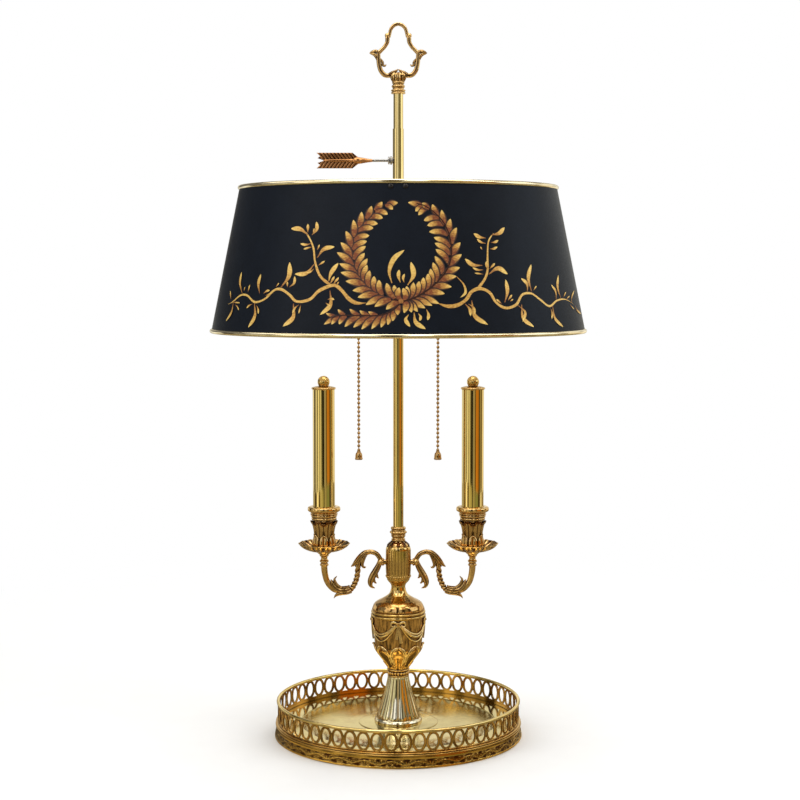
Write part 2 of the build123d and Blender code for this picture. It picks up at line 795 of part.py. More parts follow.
for side_name, side in sides.items():
    chain_x = side * chain_offset
    chain_plane = Plane(origin=(chain_x, 0, 0), x_dir=(1, 0, 0), z_dir=(0, -1, 0))
    chain_axis = Axis((chain_x, 0, 0), (0, 0, 1))

    with BuildPart() as chain_stub:
        with Locations(*[(chain_x, 0, height) for height in stub_bead_z]):
            Sphere(bead_radius)
        with BuildSketch(Plane.XY.offset(connector_top_z)):
            with Locations((chain_x, 0)):
                Circle(bead_link_radius)
        extrude(amount=stub_bead_z[0] - connector_top_z)
        with BuildSketch(Plane.XY.offset(connector_bottom_z)):
            with Locations((chain_x, 0)):
                Circle(connector_radius)
        extrude(amount=connector_height + bead_radius * 0.2)
    save(chain_stub, f"chain_stub_{side_name}")

    with BuildPart() as chain:
        with Locations(*[(chain_x, 0, height) for height in chain_bead_z]):
            Sphere(bead_radius)
        with BuildSketch(Plane.XY.offset(chain_bead_z[-1])):
            with Locations((chain_x, 0)):
                Circle(bead_link_radius)
        extrude(amount=chain_bead_z[0] - chain_bead_z[-1])
    save(chain, f"chain_{side_name}")

    with BuildPart() as bell:
        with BuildSketch(chain_plane):
            add(turned_face(
                [
                    (bell_radius * 0.9, bell_top_z - bell_height),
                    (bell_radius, bell_top_z - bell_height * 0.86),
                    (bell_radius * 0.55, bell_top_z - bell_height * 0.42),
                    (bell_radius * 0.5, bell_top_z),
                ],
                0,
            ))
        revolve(axis=chain_axis)
        with Locations((chain_x, 0, chain_bead_z[-1])):
            Sphere(bead_radius + seat_clearance, mode=Mode.SUBTRACT)
    save(bell, f"bell_{side_name}")

# --- Candle arms -----------------------------------------------------------------------------
arm_low_z = arm_root_z - arm_drop
arm_high_z = arm_root_z + arm_rise

# Leaves of the arm's casting, as outlines from the landmark that each one grows beside:
# the foot of the rise, the top of the scroll, and the ball beside the hub.
leaf_outlines = (
    (
        (arm_rise_foot_x, arm_low_z),
        ((22.2, 13.9), (17.8, 17.7), (17.0, 12.2), (10.1, 4.2), (1.1, 0.2), (1.1, -3.3), (14.5, -4.6),
         (19.2, -7.0), (20.0, -4.5), (23.0, 0.0)),
    ),
    (
        (arm_rise_top_x, arm_high_z),
        ((-10.5, -0.7), (-2.0, -2.0), (8.1, -14.4), (4.6, -16.9), (-3.0, -7.0)),
    ),
    (
        (arm_rise_top_x, arm_high_z),
        ((-0.5, -8.0), (-5.0, -8.0), (-7.5, -13.5), (-8.5, -17.0), (-3.5, -16.0)),
    ),
    (
        (arm_inner_x, arm_root_z),
        ((-0.5, -3.5), (4.5, 0.5), (14.5, -17.5), (12.0, -23.0), (6.0, -26.8), (9.0, -21.5), (9.0, -18.5)),
    ),
)

for side_name, side in sides.items():
    with BuildPart() as arm:
        with BuildLine(Plane.XZ) as arm_route:
            FilletPolyline(
                (side * candle_offset, arm_top_z),
                (side * candle_offset, arm_low_z),
                (side * arm_rise_foot_x, arm_low_z),
                (side * arm_rise_top_x, arm_high_z),
                (side * arm_inner_x, arm_high_z),
                (side * arm_inner_x, arm_root_z),
                radius=[arm_outer_bend, arm_rise_bend, arm_top_bend, arm_top_bend],
            )
        with BuildSketch(Plane.XY.offset(arm_top_z)):
            with Locations((side * candle_offset, 0)):
                Circle(arm_radius)
        sweep(path=arm_route.wires()[0])
        with Locations((side * arm_inner_x, 0, arm_root_z)):
            Sphere(arm_ball_radius)
        with BuildSketch(Plane.YZ.offset(side * (hub_radius - arm_stub_depth))):
            with Locations((0, arm_root_z)):
                Circle(arm_stub_radius)
        extrude(amount=side * (arm_inner_x - hub_radius + arm_stub_depth))
        for (landmark_x, landmark_z), outline in leaf_outlines:
            leaf = [(side * (landmark_x + across), landmark_z + up) for across, up in outline]
            with BuildSketch(Plane.XZ.offset(-ornament_thickness / 2)):
                with BuildLine():
                    Polyline(*leaf, close=True)
                make_face()
            extrude(amount=ornament_thickness)
        with BuildSketch(Plane.XY.offset(arm_top_z)):
            with Locations((side * candle_offset, 0)):
                Circle(candle_rod_hole_radius)
        extrude(amount=-candle_rod_overlap, mode=Mode.SUBTRACT)
    save(arm, f"arm_{side_name}")

# The pieces of a candle are turned about its own axis on the right, and mirrored to the left.
candle_plane = Plane(origin=(candle_offset, 0, 0), x_dir=(1, 0, 0), z_dir=(0, -1, 0))
candle_axis = Axis((candle_offset, 0, 0), (0, 0, 1))
cup_bottom_z = pan_bottom_z + pan_thickness
cup_top_z = cup_bottom_z + cup_height
candle_bottom_z = cup_top_z - cup_bore_depth
candle_top_z = candle_bottom_z + candle_length
candle_cap_top_z = candle_top_z + candle_cap_thickness
candle_rod_bottom_z = arm_top_z - candle_rod_overlap
candle_rod_top_z = candle_cap_top_z + candle_rod_in_ball

with BuildPart() as pan_collars:
    with BuildSketch(candle_plane):
        add(turned_face(
            [
                (pan_collar_radius * 0.82, arm_top_z),
                (pan_collar_radius * 0.86, arm_top_z + pan_collar_height * 0.2),
                (pan_collar_radius, arm_top_z + pan_collar_height * 0.4),
                (pan_collar_radius * 0.84, arm_top_z + pan_collar_height * 0.7),
                (pan_collar_radius * 0.95, pan_bottom_z),
            ],
            candle_rod_hole_radius,
        ))
    revolve(axis=candle_axis)
    mirror(about=Plane.YZ)
save(pan_collars, "pan_collars")

# A drip pan is flat under the cup, then curves up to a lobed rim.
pan_flat_radius = cup_waist_radius * 1.2
pan_rim_z = pan_bottom_z + pan_height - pan_thickness
with BuildPart() as drip_pans:
    with BuildSketch(candle_plane):
        with BuildLine():
            for rise in (0, pan_thickness):
                Spline(
                    (pan_flat_radius, pan_bottom_z + rise),
                    (pan_radius * 0.78, pan_bottom_z + rise + pan_height * 0.33),
                    (pan_radius, pan_rim_z + rise),
                    tangents=((1, 0), (0.6, 1)),
                )
            Line((pan_radius, pan_rim_z), (pan_radius, pan_rim_z + pan_thickness))
            Polyline(
                (pan_flat_radius, pan_bottom_z),
                (candle_rod_hole_radius, pan_bottom_z),
                (candle_rod_hole_radius, cup_bottom_z),
                (pan_flat_radius, cup_bottom_z),
            )
        make_face()
    revolve(axis=candle_axis)
    with BuildSketch(Plane.XY.offset(pan_bottom_z)):
        with Locations((candle_offset, 0)):
            with PolarLocations(pan_radius, pan_lobe_count):
                Circle(pan_radius * 0.06)
    extrude(amount=pan_height, mode=Mode.SUBTRACT)
    mirror(about=Plane.YZ)
save(drip_pans, "drip_pans")

with BuildPart() as candle_cups:
    with BuildSketch(candle_plane):
        add(turned_face(
            [
                (cup_waist_radius * 1.12, cup_bottom_z),
                (cup_waist_radius, cup_bottom_z + cup_height * 0.28),
                (cup_waist_radius * 1.06, cup_bottom_z + cup_height * 0.55),
                (candle_radius + 1.2, cup_bottom_z + cup_height * 0.8),
                (cup_radius, cup_bottom_z + cup_height * 0.95),
                (cup_radius, cup_top_z),
            ],
            candle_rod_hole_radius,
        ))
    revolve(axis=candle_axis)
    with BuildSketch(Plane.XY.offset(candle_bottom_z)):
        with Locations((candle_offset, 0)):
            Circle(candle_radius + seat_clearance)
    extrude(amount=2 * cup_bore_depth, mode=Mode.SUBTRACT)
    mirror(about=Plane.YZ)
save(candle_cups, "candle_cups")

with BuildPart() as candle_tubes:
    with BuildSketch(Plane.XY.offset(candle_bottom_z)):
        with Locations((candle_offset, 0)):
            Circle(candle_radius)
            Circle(candle_radius - candle_wall, mode=Mode.SUBTRACT)
    extrude(amount=candle_length)
    mirror(about=Plane.YZ)
save(candle_tubes, "candle_tubes")

candle_plug_radius = candle_radius - candle_wall - seat_clearance
with BuildPart() as candle_caps:
    with BuildSketch(candle_plane):
        add(stepped_face(
            (candle_rod_hole_radius, candle_top_z - candle_plug_depth),
            (candle_plug_radius, candle_top_z - candle_plug_depth),
            (candle_plug_radius, candle_top_z),
            (candle_cap_radius, candle_top_z),
            (candle_cap_radius, candle_cap_top_z),
            (candle_rod_hole_radius, candle_cap_top_z),
        ))
    revolve(axis=candle_axis)
    mirror(about=Plane.YZ)
save(candle_caps, "candle_caps")

candle_ball_z = candle_cap_top_z + candle_ball_height - candle_ball_radius
with BuildPart() as candle_balls:
    with Locations((candle_offset, 0, candle_ball_z)):
        Sphere(candle_ball_radius)
    split(bisect_by=Plane.XY.offset(candle_cap_top_z), keep=Keep.TOP)
    with BuildSketch(Plane.XY.offset(candle_cap_top_z)):
        with Locations((candle_offset, 0)):
            Circle(candle_rod_hole_radius)
    extrude(amount=candle_rod_in_ball + axial_gap, mode=Mode.SUBTRACT)
    mirror(about=Plane.YZ)
save(candle_balls, "candle_balls")

with BuildPart() as candle_rods:
    with BuildSketch(Plane.XY.offset(candle_rod_bottom_z)):
        with Locations((candle_offset, 0)):
            Circle(candle_rod_radius)
    extrude(amount=candle_rod_top_z - candle_rod_bottom_z)
    mirror(about=Plane.YZ)
save(candle_rods, "candle_rods")

# --- Guide rod and finial --------------------------------------------------------------------
with BuildPart() as guide_rod:
    with BuildSketch(Plane.XY.offset(rod_bottom_z)):
        Circle(rod_radius)
        Circle(rod_radius - rod_wall, mode=Mode.SUBTRACT)
    extrude(amount=rod_length)
save(guide_rod, "guide_rod")

with BuildPart() as finial_collar:
    with BuildSketch(Plane.XZ):
        add(turned_face(
            [
                (finial_collar_radius * 0.84, finial_bottom_z),
                (finial_collar_radius, finial_bottom_z + finial_collar_height * 0.2),
                (finial_collar_radius * 0.82, finial_bottom_z + finial_collar_height * 0.4),
                (finial_collar_radius, finial_bottom_z + finial_collar_height * 0.6),
                (finial_collar_radius * 0.6, finial_collar_top_z),
            ],
            finial_stem_radius + seat_clearance,
        ))
    revolve(axis=Axis.Z)
    with BuildSketch(Plane.XY.offset(finial_bottom_z)):
        Circle(rod_radius + seat_clearance)
    extrude(amount=finial_seat_depth, mode=Mode.SUBTRACT)
save(finial_collar, "finial_collar")

# Right half of the finial's open loop, as points above its collar.
finial_half_loop = [
    (0.0, 4.6), (9.0, 5.6), (14.5, 9.2), (16.4, 15.2), (19.6, 21.6), (18.4, 27.2),
    (14.6, 30.7), (12.2, 34.7), (11.2, 41.2), (8.0, 47.2), (5.2, 51.2), (0.0, 54.2),
]
finial_ear = [(17.0, 19.0), (27.4, 26.4), (27.0, 27.6), (16.0, 29.0)]
finial_plane = Plane.XZ.offset(-finial_loop_depth / 2)
with BuildPart() as finial_loop:
    with BuildSketch(Plane.XY.offset(finial_collar_top_z - finial_stem_depth)):
        Circle(finial_stem_radius)
    extrude(amount=finial_stem_depth + finial_half_loop[0][1])
    with BuildSketch(finial_plane):
        with BuildLine():
            Polyline(*[(across, finial_collar_top_z + up) for across, up in finial_half_loop])
        trace(line_width=finial_loop_width)
        with BuildLine():
            Polyline(*[(across, finial_collar_top_z + up) for across, up in finial_ear], close=True)
        make_face()
        mirror(about=Plane.YZ)
    extrude(amount=finial_loop_depth)
save(finial_loop, "finial_loop")

# --- Sleeve and arrow key --------------------------------------------------------------------
sleeve_bore_radius = rod_radius + running_clearance
key_hole_radius = key_screw_radius + running_clearance
flange_top_z = spider_bottom_z - axial_gap
with BuildPart() as shade_sleeve:
    with BuildSketch(Plane.XZ):
        add(stepped_face(
            (sleeve_bore_radius, sleeve_bottom_z),
            (sleeve_radius, sleeve_bottom_z),
            (sleeve_radius, flange_top_z - sleeve_flange_height),
            (sleeve_flange_radius, flange_top_z - sleeve_flange_height),
            (sleeve_flange_radius, flange_top_z),
            (sleeve_radius, flange_top_z),
            (sleeve_radius, sleeve_top_z),
            (sleeve_bore_radius, sleeve_top_z),
        ))
    revolve(axis=Axis.Z)
    with BuildSketch(Plane.YZ):
        with Locations((0, key_z)):
            Circle(key_hole_radius)
    extrude(amount=-2 * sleeve_radius, mode=Mode.SUBTRACT)
save(shade_sleeve, "shade_sleeve")

with BuildPart() as sleeve_nut:
    with BuildSketch(Plane.XY.offset(spider_top_z + axial_gap)):
        RegularPolygon(sleeve_flange_radius, 6)
        Circle(sleeve_radius, mode=Mode.SUBTRACT)
    extrude(amount=sleeve_nut_height)
save(sleeve_nut, "sleeve_nut")

with BuildPart() as key_boss:
    with BuildSketch(Plane.YZ):
        with Locations((0, key_z)):
            Circle(key_boss_radius)
    extrude(amount=-key_boss_end)
    with BuildSketch(Plane.XY.offset(key_z - key_boss_radius)):
        Circle(sleeve_radius)
    extrude(amount=2 * key_boss_radius, mode=Mode.SUBTRACT)
    with BuildSketch(Plane.YZ):
        with Locations((0, key_z)):
            Circle(key_hole_radius)
    extrude(amount=-2 * key_boss_end, mode=Mode.SUBTRACT)
save(key_boss, "key_boss")

# The key is an arrow: a screw, a thin shank, a quill and raked vanes above and below it.
vane_rake = key_vane_width / 4
vane_step = (key_vane_end - key_vane_start - vane_rake) / key_vane_count
vane_gap = vane_step * 0.08
with BuildPart() as arrow_key:
    with BuildSketch(Plane.XZ):
        add(stepped_face(
            (-rod_radius - key_tip_gap, key_z),
            (-rod_radius - key_tip_gap, key_z + key_screw_radius),
            (-key_boss_end - axial_gap, key_z + key_screw_radius),
            (-key_boss_end - axial_gap, key_z + key_shank_radius),
            (-key_taper_start, key_z + key_shank_radius),
            (-key_vane_start, key_z + key_quill_radius),
            (-key_vane_end + vane_rake, key_z + key_shank_radius),
            (-key_vane_end + vane_rake, key_z),
        ))
    revolve(axis=Axis((0, 0, key_z), (1, 0, 0)))
    with BuildSketch(Plane.XZ.offset(-key_vane_thickness / 2)):
        for index in range(key_vane_count):
            vane_x = key_vane_start + index * vane_step + vane_gap
            for up in (-1, 1):
                with BuildLine():
                    Polyline(
                        (-vane_x, key_z),
                        (-vane_x - vane_rake, key_z + up * key_vane_width / 2),
                        (-vane_x - vane_rake - vane_step + 2 * vane_gap, key_z + up * key_vane_width / 2),
                        (-vane_x - vane_step + 2 * vane_gap, key_z),
                        close=True,
                    )
                make_face()
    extrude(amount=key_vane_thickness)
save(arrow_key, "arrow_key")

# --- Shade and spider ------------------------------------------------------------------------
def shade_cone(inset):
    """Return the oval cone that lies inside the shade's outer face by an inset."""
    with BuildPart() as cone:
        for height in (shade_bottom_z, shade_top_z):
            half_width = shade_half_width(height)
            with BuildSketch(Plane.XY.offset(height)):
                Ellipse(half_width - inset, half_width * shade_oval_ratio - inset)
        loft(ruled=True)
    return cone.part


def wall_plane(angle, sideways, height):
    """Return the plane, facing outwards, where a line beside a spider's arm meets the shade."""
    half_width = shade_half_width(height)
    half_depth = half_width * shade_oval_ratio
    along = Vector(cos(radians(angle)), sin(radians(angle)), 0)
    start = Vector(-along.Y, along.X, 0) * sideways
    square = (along.X / half_width) ** 2 + (along.Y / half_depth) ** 2
    middle = start.X * along.X / half_width ** 2 + start.Y * along.Y / half_depth ** 2
    rest = (start.X / half_width) ** 2 + (start.Y / half_depth) ** 2 - 1
    reach = (sqrt(middle ** 2 - square * rest) - middle) / square
    origin = start + along * reach + Vector(0, 0, height)
    return Plane(origin=origin, x_dir=(-along.Y, along.X, 0), z_dir=along)


screw_z = shade_top_z - screw_drop
screw_length = spider_tab_thickness + 2 * shade_wall
screw_planes = [
    wall_plane(angle, sideways, screw_z)
    for angle in spider_arm_angles
    for sideways in (-screw_spacing / 2, screw_spacing / 2)
]

with BuildPart() as shade:
    add(shade_cone(0))
    add(shade_cone(shade_wall), mode=Mode.SUBTRACT)
    with BuildSketch(*screw_planes):
        Circle(screw_radius)
    extrude(amount=-screw_length, mode=Mode.SUBTRACT)
save(shade, "shade")

for rim_name, rim_z in (("shade_rim_top", shade_top_z), ("shade_rim_bottom", shade_bottom_z)):
    rim_half_width = shade_half_width(rim_z) - shade_wall / 2
    rim_half_depth = shade_half_width(rim_z) * shade_oval_ratio - shade_wall / 2
    with BuildPart() as shade_rim:
        with BuildLine(Plane.XY.offset(rim_z)):
            EllipticalCenterArc((0, 0), rim_half_width, rim_half_depth, arc_size=360)
        with BuildSketch(Plane(origin=(rim_half_width, 0, rim_z), z_dir=(0, 1, 0))):
            Circle(shade_rim_radius)
        sweep()
    save(shade_rim, rim_name)

spider_middle_z = (spider_bottom_z + spider_top_z) / 2
tab_bottom_z = spider_middle_z - spider_tab_height / 2
with BuildPart() as spider:
    for angle in spider_arm_angles:
        tab_plane = wall_plane(angle, 0, spider_middle_z)
        arm_length = Vector(tab_plane.origin.X, tab_plane.origin.Y, 0).length
        with BuildSketch(Plane.XY.rotated((0, 0, angle)).offset(spider_middle_z)):
            with Locations((arm_length / 2, 0)):
                Rectangle(arm_length, spider_arm_width)
        extrude(amount=spider_arm_thickness / 2, both=True)
        with BuildSketch(tab_plane):
            Rectangle(spider_tab_width, spider_tab_height)
        extrude(amount=spider_tab_thickness, both=True)
    add(shade_cone(shade_wall), mode=Mode.INTERSECT)
    with BuildSketch(Plane.XY.offset(spider_bottom_z)):
        Circle(spider_boss_radius)
    extrude(amount=spider_boss_height)
    with BuildSketch(Plane.XY.offset(spider_bottom_z)):
        Circle(sleeve_radius + running_clearance)
    extrude(amount=spider_boss_height, mode=Mode.SUBTRACT)
    with BuildSketch(*screw_planes):
        Circle(screw_radius)
    extrude(amount=-screw_length, mode=Mode.SUBTRACT)
save(spider, "spider")

with BuildPart() as shade_screws:
    with BuildSketch(*screw_planes):
        Circle(screw_radius)
    extrude(amount=-screw_length)
    with BuildSketch(*screw_planes):
        Circle(screw_head_radius)
    extrude(amount=screw_head_height)
save(shade_screws, "shade_screws")
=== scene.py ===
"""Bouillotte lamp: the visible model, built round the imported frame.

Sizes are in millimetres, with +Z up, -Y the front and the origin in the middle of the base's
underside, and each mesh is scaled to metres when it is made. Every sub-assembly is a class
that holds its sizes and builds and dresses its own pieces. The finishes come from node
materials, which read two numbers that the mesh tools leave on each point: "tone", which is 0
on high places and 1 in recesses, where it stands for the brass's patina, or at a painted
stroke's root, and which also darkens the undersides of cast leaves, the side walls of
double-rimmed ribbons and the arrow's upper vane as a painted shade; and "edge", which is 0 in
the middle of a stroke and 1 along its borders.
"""

import logging
import math
import sys
from dataclasses import dataclass, field
from enum import Enum
from typing import Callable, Dict, List, Optional, Sequence, Tuple

import bmesh
import bpy
import numpy as np
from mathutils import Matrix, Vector


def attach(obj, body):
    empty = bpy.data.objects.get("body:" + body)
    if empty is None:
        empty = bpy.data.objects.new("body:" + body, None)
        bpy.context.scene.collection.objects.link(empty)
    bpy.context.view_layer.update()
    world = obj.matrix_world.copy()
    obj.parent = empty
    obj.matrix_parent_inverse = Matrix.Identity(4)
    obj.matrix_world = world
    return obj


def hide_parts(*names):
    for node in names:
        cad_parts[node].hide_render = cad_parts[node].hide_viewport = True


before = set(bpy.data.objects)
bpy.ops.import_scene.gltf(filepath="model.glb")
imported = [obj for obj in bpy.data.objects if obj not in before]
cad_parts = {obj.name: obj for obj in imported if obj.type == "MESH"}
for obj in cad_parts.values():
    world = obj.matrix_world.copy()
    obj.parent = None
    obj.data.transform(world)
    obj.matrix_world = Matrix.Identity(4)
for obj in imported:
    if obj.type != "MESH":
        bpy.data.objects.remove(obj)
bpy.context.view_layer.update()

log = logging.getLogger("lamp")

Colour = Tuple[float, float, float]
Point2 = Tuple[float, float]
Point3 = Tuple[float, float, float]
Relief = Callable[[np.ndarray, np.ndarray], np.ndarray]
Finishes = Dict[str, bpy.types.Material]

MILLIMETRE = 0.001
TURN = 2 * math.pi
SEAM_DISTANCE = 2e-7
SHARP_ANGLE = math.radians(48)


class Side(Enum):
    """The two sides of the lamp, seen from the front."""

    LEFT = -1
    RIGHT = 1


class Section(Enum):
    """The cross sections that a swept strip may have, as (across, up) outlines of half size 1."""

    ROUND = "round"
    LEAF = "leaf"
    STROKE = "stroke"
    DOUBLE_RIM = "double_rim"

    def outline(self, sides: int) -> np.ndarray:
        """Return the section's closed outline.

        Args:
            sides: how many points a round section has.

        Returns:
            An array of (across, up) rows, anticlockwise.
        """
        if self is Section.LEAF:
            return np.array([
                (-1.0, 0.0), (-0.72, -0.5), (0.0, -0.7), (0.72, -0.5), (1.0, 0.0),
                (0.78, 0.62), (0.45, 1.0), (0.16, 0.72), (0.0, 0.28), (-0.16, 0.72), (-0.45, 1.0), (-0.78, 0.62),
            ])
        if self is Section.STROKE:
            return np.array([
                (-1.0, 0.0), (-0.5, -0.5), (0.5, -0.5), (1.0, 0.0), (0.72, 0.6), (0.3, 0.95), (0.0, 1.0),
                (-0.3, 0.95), (-0.72, 0.6),
            ])
        if self is Section.DOUBLE_RIM:
            return np.array([
                (-1.0, -0.8), (1.0, -0.8), (1.0, 0.75), (0.86, 1.0), (0.62, 1.0), (0.45, 0.55), (0.0, 0.45),
                (-0.45, 0.55), (-0.62, 1.0), (-0.86, 1.0), (-1.0, 0.75),
            ])
        angles = np.linspace(0, TURN, sides, endpoint=False)
        return np.stack([np.cos(angles), np.sin(angles)], axis=1)


class Moulding(Enum):
    """The turned shapes that a collar is stacked from."""

    BEAD = "bead"
    COVE = "cove"
    FILLET = "fillet"

    def outline(self, radius: float, low: float, height: float) -> List[Point2]:
        """Return the outline of one moulding, with a corner at both ends.

        Args:
            radius: its radius, half way up.
            low: the height of its foot.
            height: how tall it is.

        Returns:
            (radius, height) points from its foot to its top.
        """
        sink = {Moulding.BEAD: -min(1.3, height * 0.42), Moulding.COVE: min(1.5, height * 0.4)}.get(self, 0.0)
        foot, top = (radius + sink, low), (radius + sink, low + height)
        middle = [(radius + sink * 0.25, low + height * share) for share in (0.18, 0.82)]
        middle.insert(1, (radius, low + height / 2))
        return [foot, foot, *(middle if sink else []), top, top]


def stacked(low: float, *steps: Tuple[Moulding, float, float]) -> List[Point2]:
    """Return the outline of mouldings stacked upwards from a height, each a kind, a radius and a height."""
    outline: List[Point2] = []
    for kind, radius, height in steps:
        outline += kind.outline(radius, low, height)
        low += height
    return outline


def curve_through(points: Sequence[Sequence[float]], per_span: int = 8) -> np.ndarray:
    """Return a smooth line through points. A point given twice in a row makes a corner.

    Args:
        points: the points to pass through, each of two or three numbers.
        per_span: how many steps each span is divided into.

    Returns:
        An array with one row for each point of the line.
    """
    runs: List[List[Sequence[float]]] = [[points[0]]]
    for last, point in zip(points, points[1:]):
        if tuple(last) == tuple(point):
            runs.append([point])
        else:
            runs[-1].append(point)
    pieces = []
    for run in runs:
        known = np.array(run, float)
        if len(known) < 2:
            continue
        padded = np.vstack([2 * known[0] - known[1], known, 2 * known[-1] - known[-2]])
        share = np.linspace(0, 1, per_span, endpoint=False)[:, None]
        for a, b, c, d in zip(padded, padded[1:], padded[2:], padded[3:]):
            pieces.append(0.5 * (
                2 * b + (c - a) * share + (2 * a - 5 * b + 4 * c - d) * share ** 2
                + (3 * b - a - 3 * c + d) * share ** 3
            ))
        pieces.append(known[-1:])
    return np.vstack(pieces)


def unit(vectors: np.ndarray) -> np.ndarray:
    """Return vectors with a length of one."""
    return vectors / np.maximum(np.linalg.norm(vectors, axis=-1, keepdims=True), 1e-9)


def rotate_z(points: np.ndarray, angle: float, centre: Point2 = (0.0, 0.0)) -> np.ndarray:
    """Return points turned about an upright axis through centre."""
    shifted = points - np.array([centre[0], centre[1], 0.0])
    cosine, sine = math.cos(angle), math.sin(angle)
    x = shifted[..., 0] * cosine - shifted[..., 1] * sine + centre[0]
    y = shifted[..., 0] * sine + shifted[..., 1] * cosine + centre[1]
    return np.stack([x, y, shifted[..., 2]], axis=-1)


def smooth_step(values: np.ndarray) -> np.ndarray:
    """Return values eased from 0 to 1, and held outside that range."""
    held = np.clip(values, 0, 1)
    return held * held * (3 - 2 * held)


def bell_curve(values: np.ndarray, width: float) -> np.ndarray:
    """Return a bump of height 1 about 0, which fades over a width."""
    return np.exp(-(values / width) ** 2)


class MeshDraft:
    """Collects grids of points, in millimetres, and makes one object of them."""

    def __init__(self) -> None:
        """Start with nothing."""
        self.points: List[np.ndarray] = []
        self.quads: List[np.ndarray] = []
        self.tones: List[np.ndarray] = []
        self.edges: List[np.ndarray] = []
        self.coats: List[np.ndarray] = []
        self.count = 0

    def grid(
        self,
        points: np.ndarray,
        closed_rows: bool = False,
        closed_columns: bool = False,
        tone: Optional[np.ndarray] = None,
        edge: Optional[np.ndarray] = None,
        coat: int = 0,
    ) -> None:
        """Add a surface.

        Args:
            points: an array of rows and columns of points.
            closed_rows: whether the last row joins the first.
            closed_columns: whether the last column joins the first.
            tone: the recess value of each point, or none for 0.
            edge: the border value of each point, or none for 0.
            coat: the index of its finish among the object's finishes.
        """
        rows, columns = points.shape[:2]
        numbers = np.arange(rows * columns).reshape(rows, columns) + self.count
        if closed_rows:
            numbers = np.vstack([numbers, numbers[:1]])
        if closed_columns:
            numbers = np.hstack([numbers, numbers[:, :1]])
        quads = np.stack([numbers[:-1, :-1], numbers[:-1, 1:], numbers[1:, 1:], numbers[1:, :-1]], axis=-1)
        quads = quads.reshape(-1, 4)
        empty = np.zeros(rows * columns)
        self.points.append(points.reshape(-1, 3))
        self.quads.append(quads)
        self.tones.append(empty if tone is None else np.broadcast_to(tone, (rows, columns)).reshape(-1))
        self.edges.append(empty if edge is None else np.broadcast_to(edge, (rows, columns)).reshape(-1))
        self.coats.append(np.full(len(quads), coat))
        self.count += rows * columns

    def turn(
        self,
        outline: Sequence[Point2],
        sides: int = 96,
        relief: Optional[Relief] = None,
        centre: Point2 = (0.0, 0.0),
        per_span: int = 8,
        coat: int = 0,
        recess: float = 1.0,
    ) -> None:
        """Add a turned shape.

        Args:
            outline: (radius, height) points, smoothed, where a point given twice is a corner.
            sides: how many steps go round.
            relief: gives how far the surface stands out, from the angle and the share along the outline.
            centre: the (x, y) place of the axis.
            per_span: steps between two points of the outline.
            coat: the index of its finish.
            recess: how much of the relief's depth shows as tone.
        """
        line = curve_through([(radius, height) for radius, height in outline], per_span)
        angles = np.linspace(0, TURN, sides, endpoint=False)
        radius = np.repeat(line[:, :1], sides, axis=1)
        height = np.repeat(line[:, 1:], sides, axis=1)
        tone = None
        if relief is not None:
            share = np.linspace(0, 1, len(line))[:, None]
            depth = relief(np.broadcast_to(angles, radius.shape), np.broadcast_to(share, radius.shape))
            along = unit(np.gradient(line, axis=0))
            radius = radius + depth * along[:, 1:]
            height = height - depth * along[:, :1]
            span = float(depth.max() - depth.min()) or 1.0
            tone = (depth.max() - depth) / span * recess
        points = np.stack([centre[0] + radius * np.cos(angles), centre[1] + radius * np.sin(angles), height], axis=-1)
        self.grid(points, closed_columns=True, tone=tone, coat=coat)

    def spun(
        self,
        outline: Sequence[Point2],
        bore: float,
        sides: int = 96,
        relief: Optional[Relief] = None,
        centre: Point2 = (0.0, 0.0),
        per_span: int = 6,
        recess: float = 1.0,
    ) -> None:
        """Add a turned shape round a bore, with flat ends.

        Args:
            outline: (radius, height) points of its outside.
            bore: the radius of its bore, or 0 for none.
            sides: how many steps go round.
            relief: gives how far the outside stands out, and is 0 at both ends.
            centre: the (x, y) place of the axis.
            per_span: steps between two points of the outline.
            recess: how much of the relief's depth shows as tone.
        """
        (_, low), (_, high) = foot, top = outline[0], outline[-1]
        self.turn(outline, sides, relief, centre, per_span, recess=recess)
        self.turn([top, top, (bore, high), (bore, high), (bore, low), (bore, low), foot], sides, centre=centre, per_span=2)

    def frond(
        self,
        rows: Sequence[Point3],
        depth: float = 1.0,
        offset: float = 0.0,
        lobes: int = 6,
        lobe_depth: float = 0.22,
        twist: float = 0.0,
        root_tone: float = 0.1,
    ) -> None:
        """Add a ribbed cast leaf or bar that lies beside the lamp's middle plane.

        Args:
            rows: (x, height, half width) rows, from root to tip.
            depth: its half size from front to back, as a share of the half width.
            offset: how far behind the middle plane it lies.
            lobes: how many ribs it has.
            lobe_depth: how deep the grooves between them are, as a share.
            twist: turns of the ribs over its length.
            root_tone: the tone at its root.
        """
        line = curve_through(rows, 9)
        path = np.stack([line[:, 0], np.full(len(line), offset), line[:, 1]], axis=1)
        thick = np.maximum(line[:, 2], 0.15)
        self.strip(path, np.array([0.0, 1.0, 0.0]), thick * depth, thick, sides=32, twist=twist, lobes=lobes,
                   lobe_depth=lobe_depth, root_tone=root_tone)

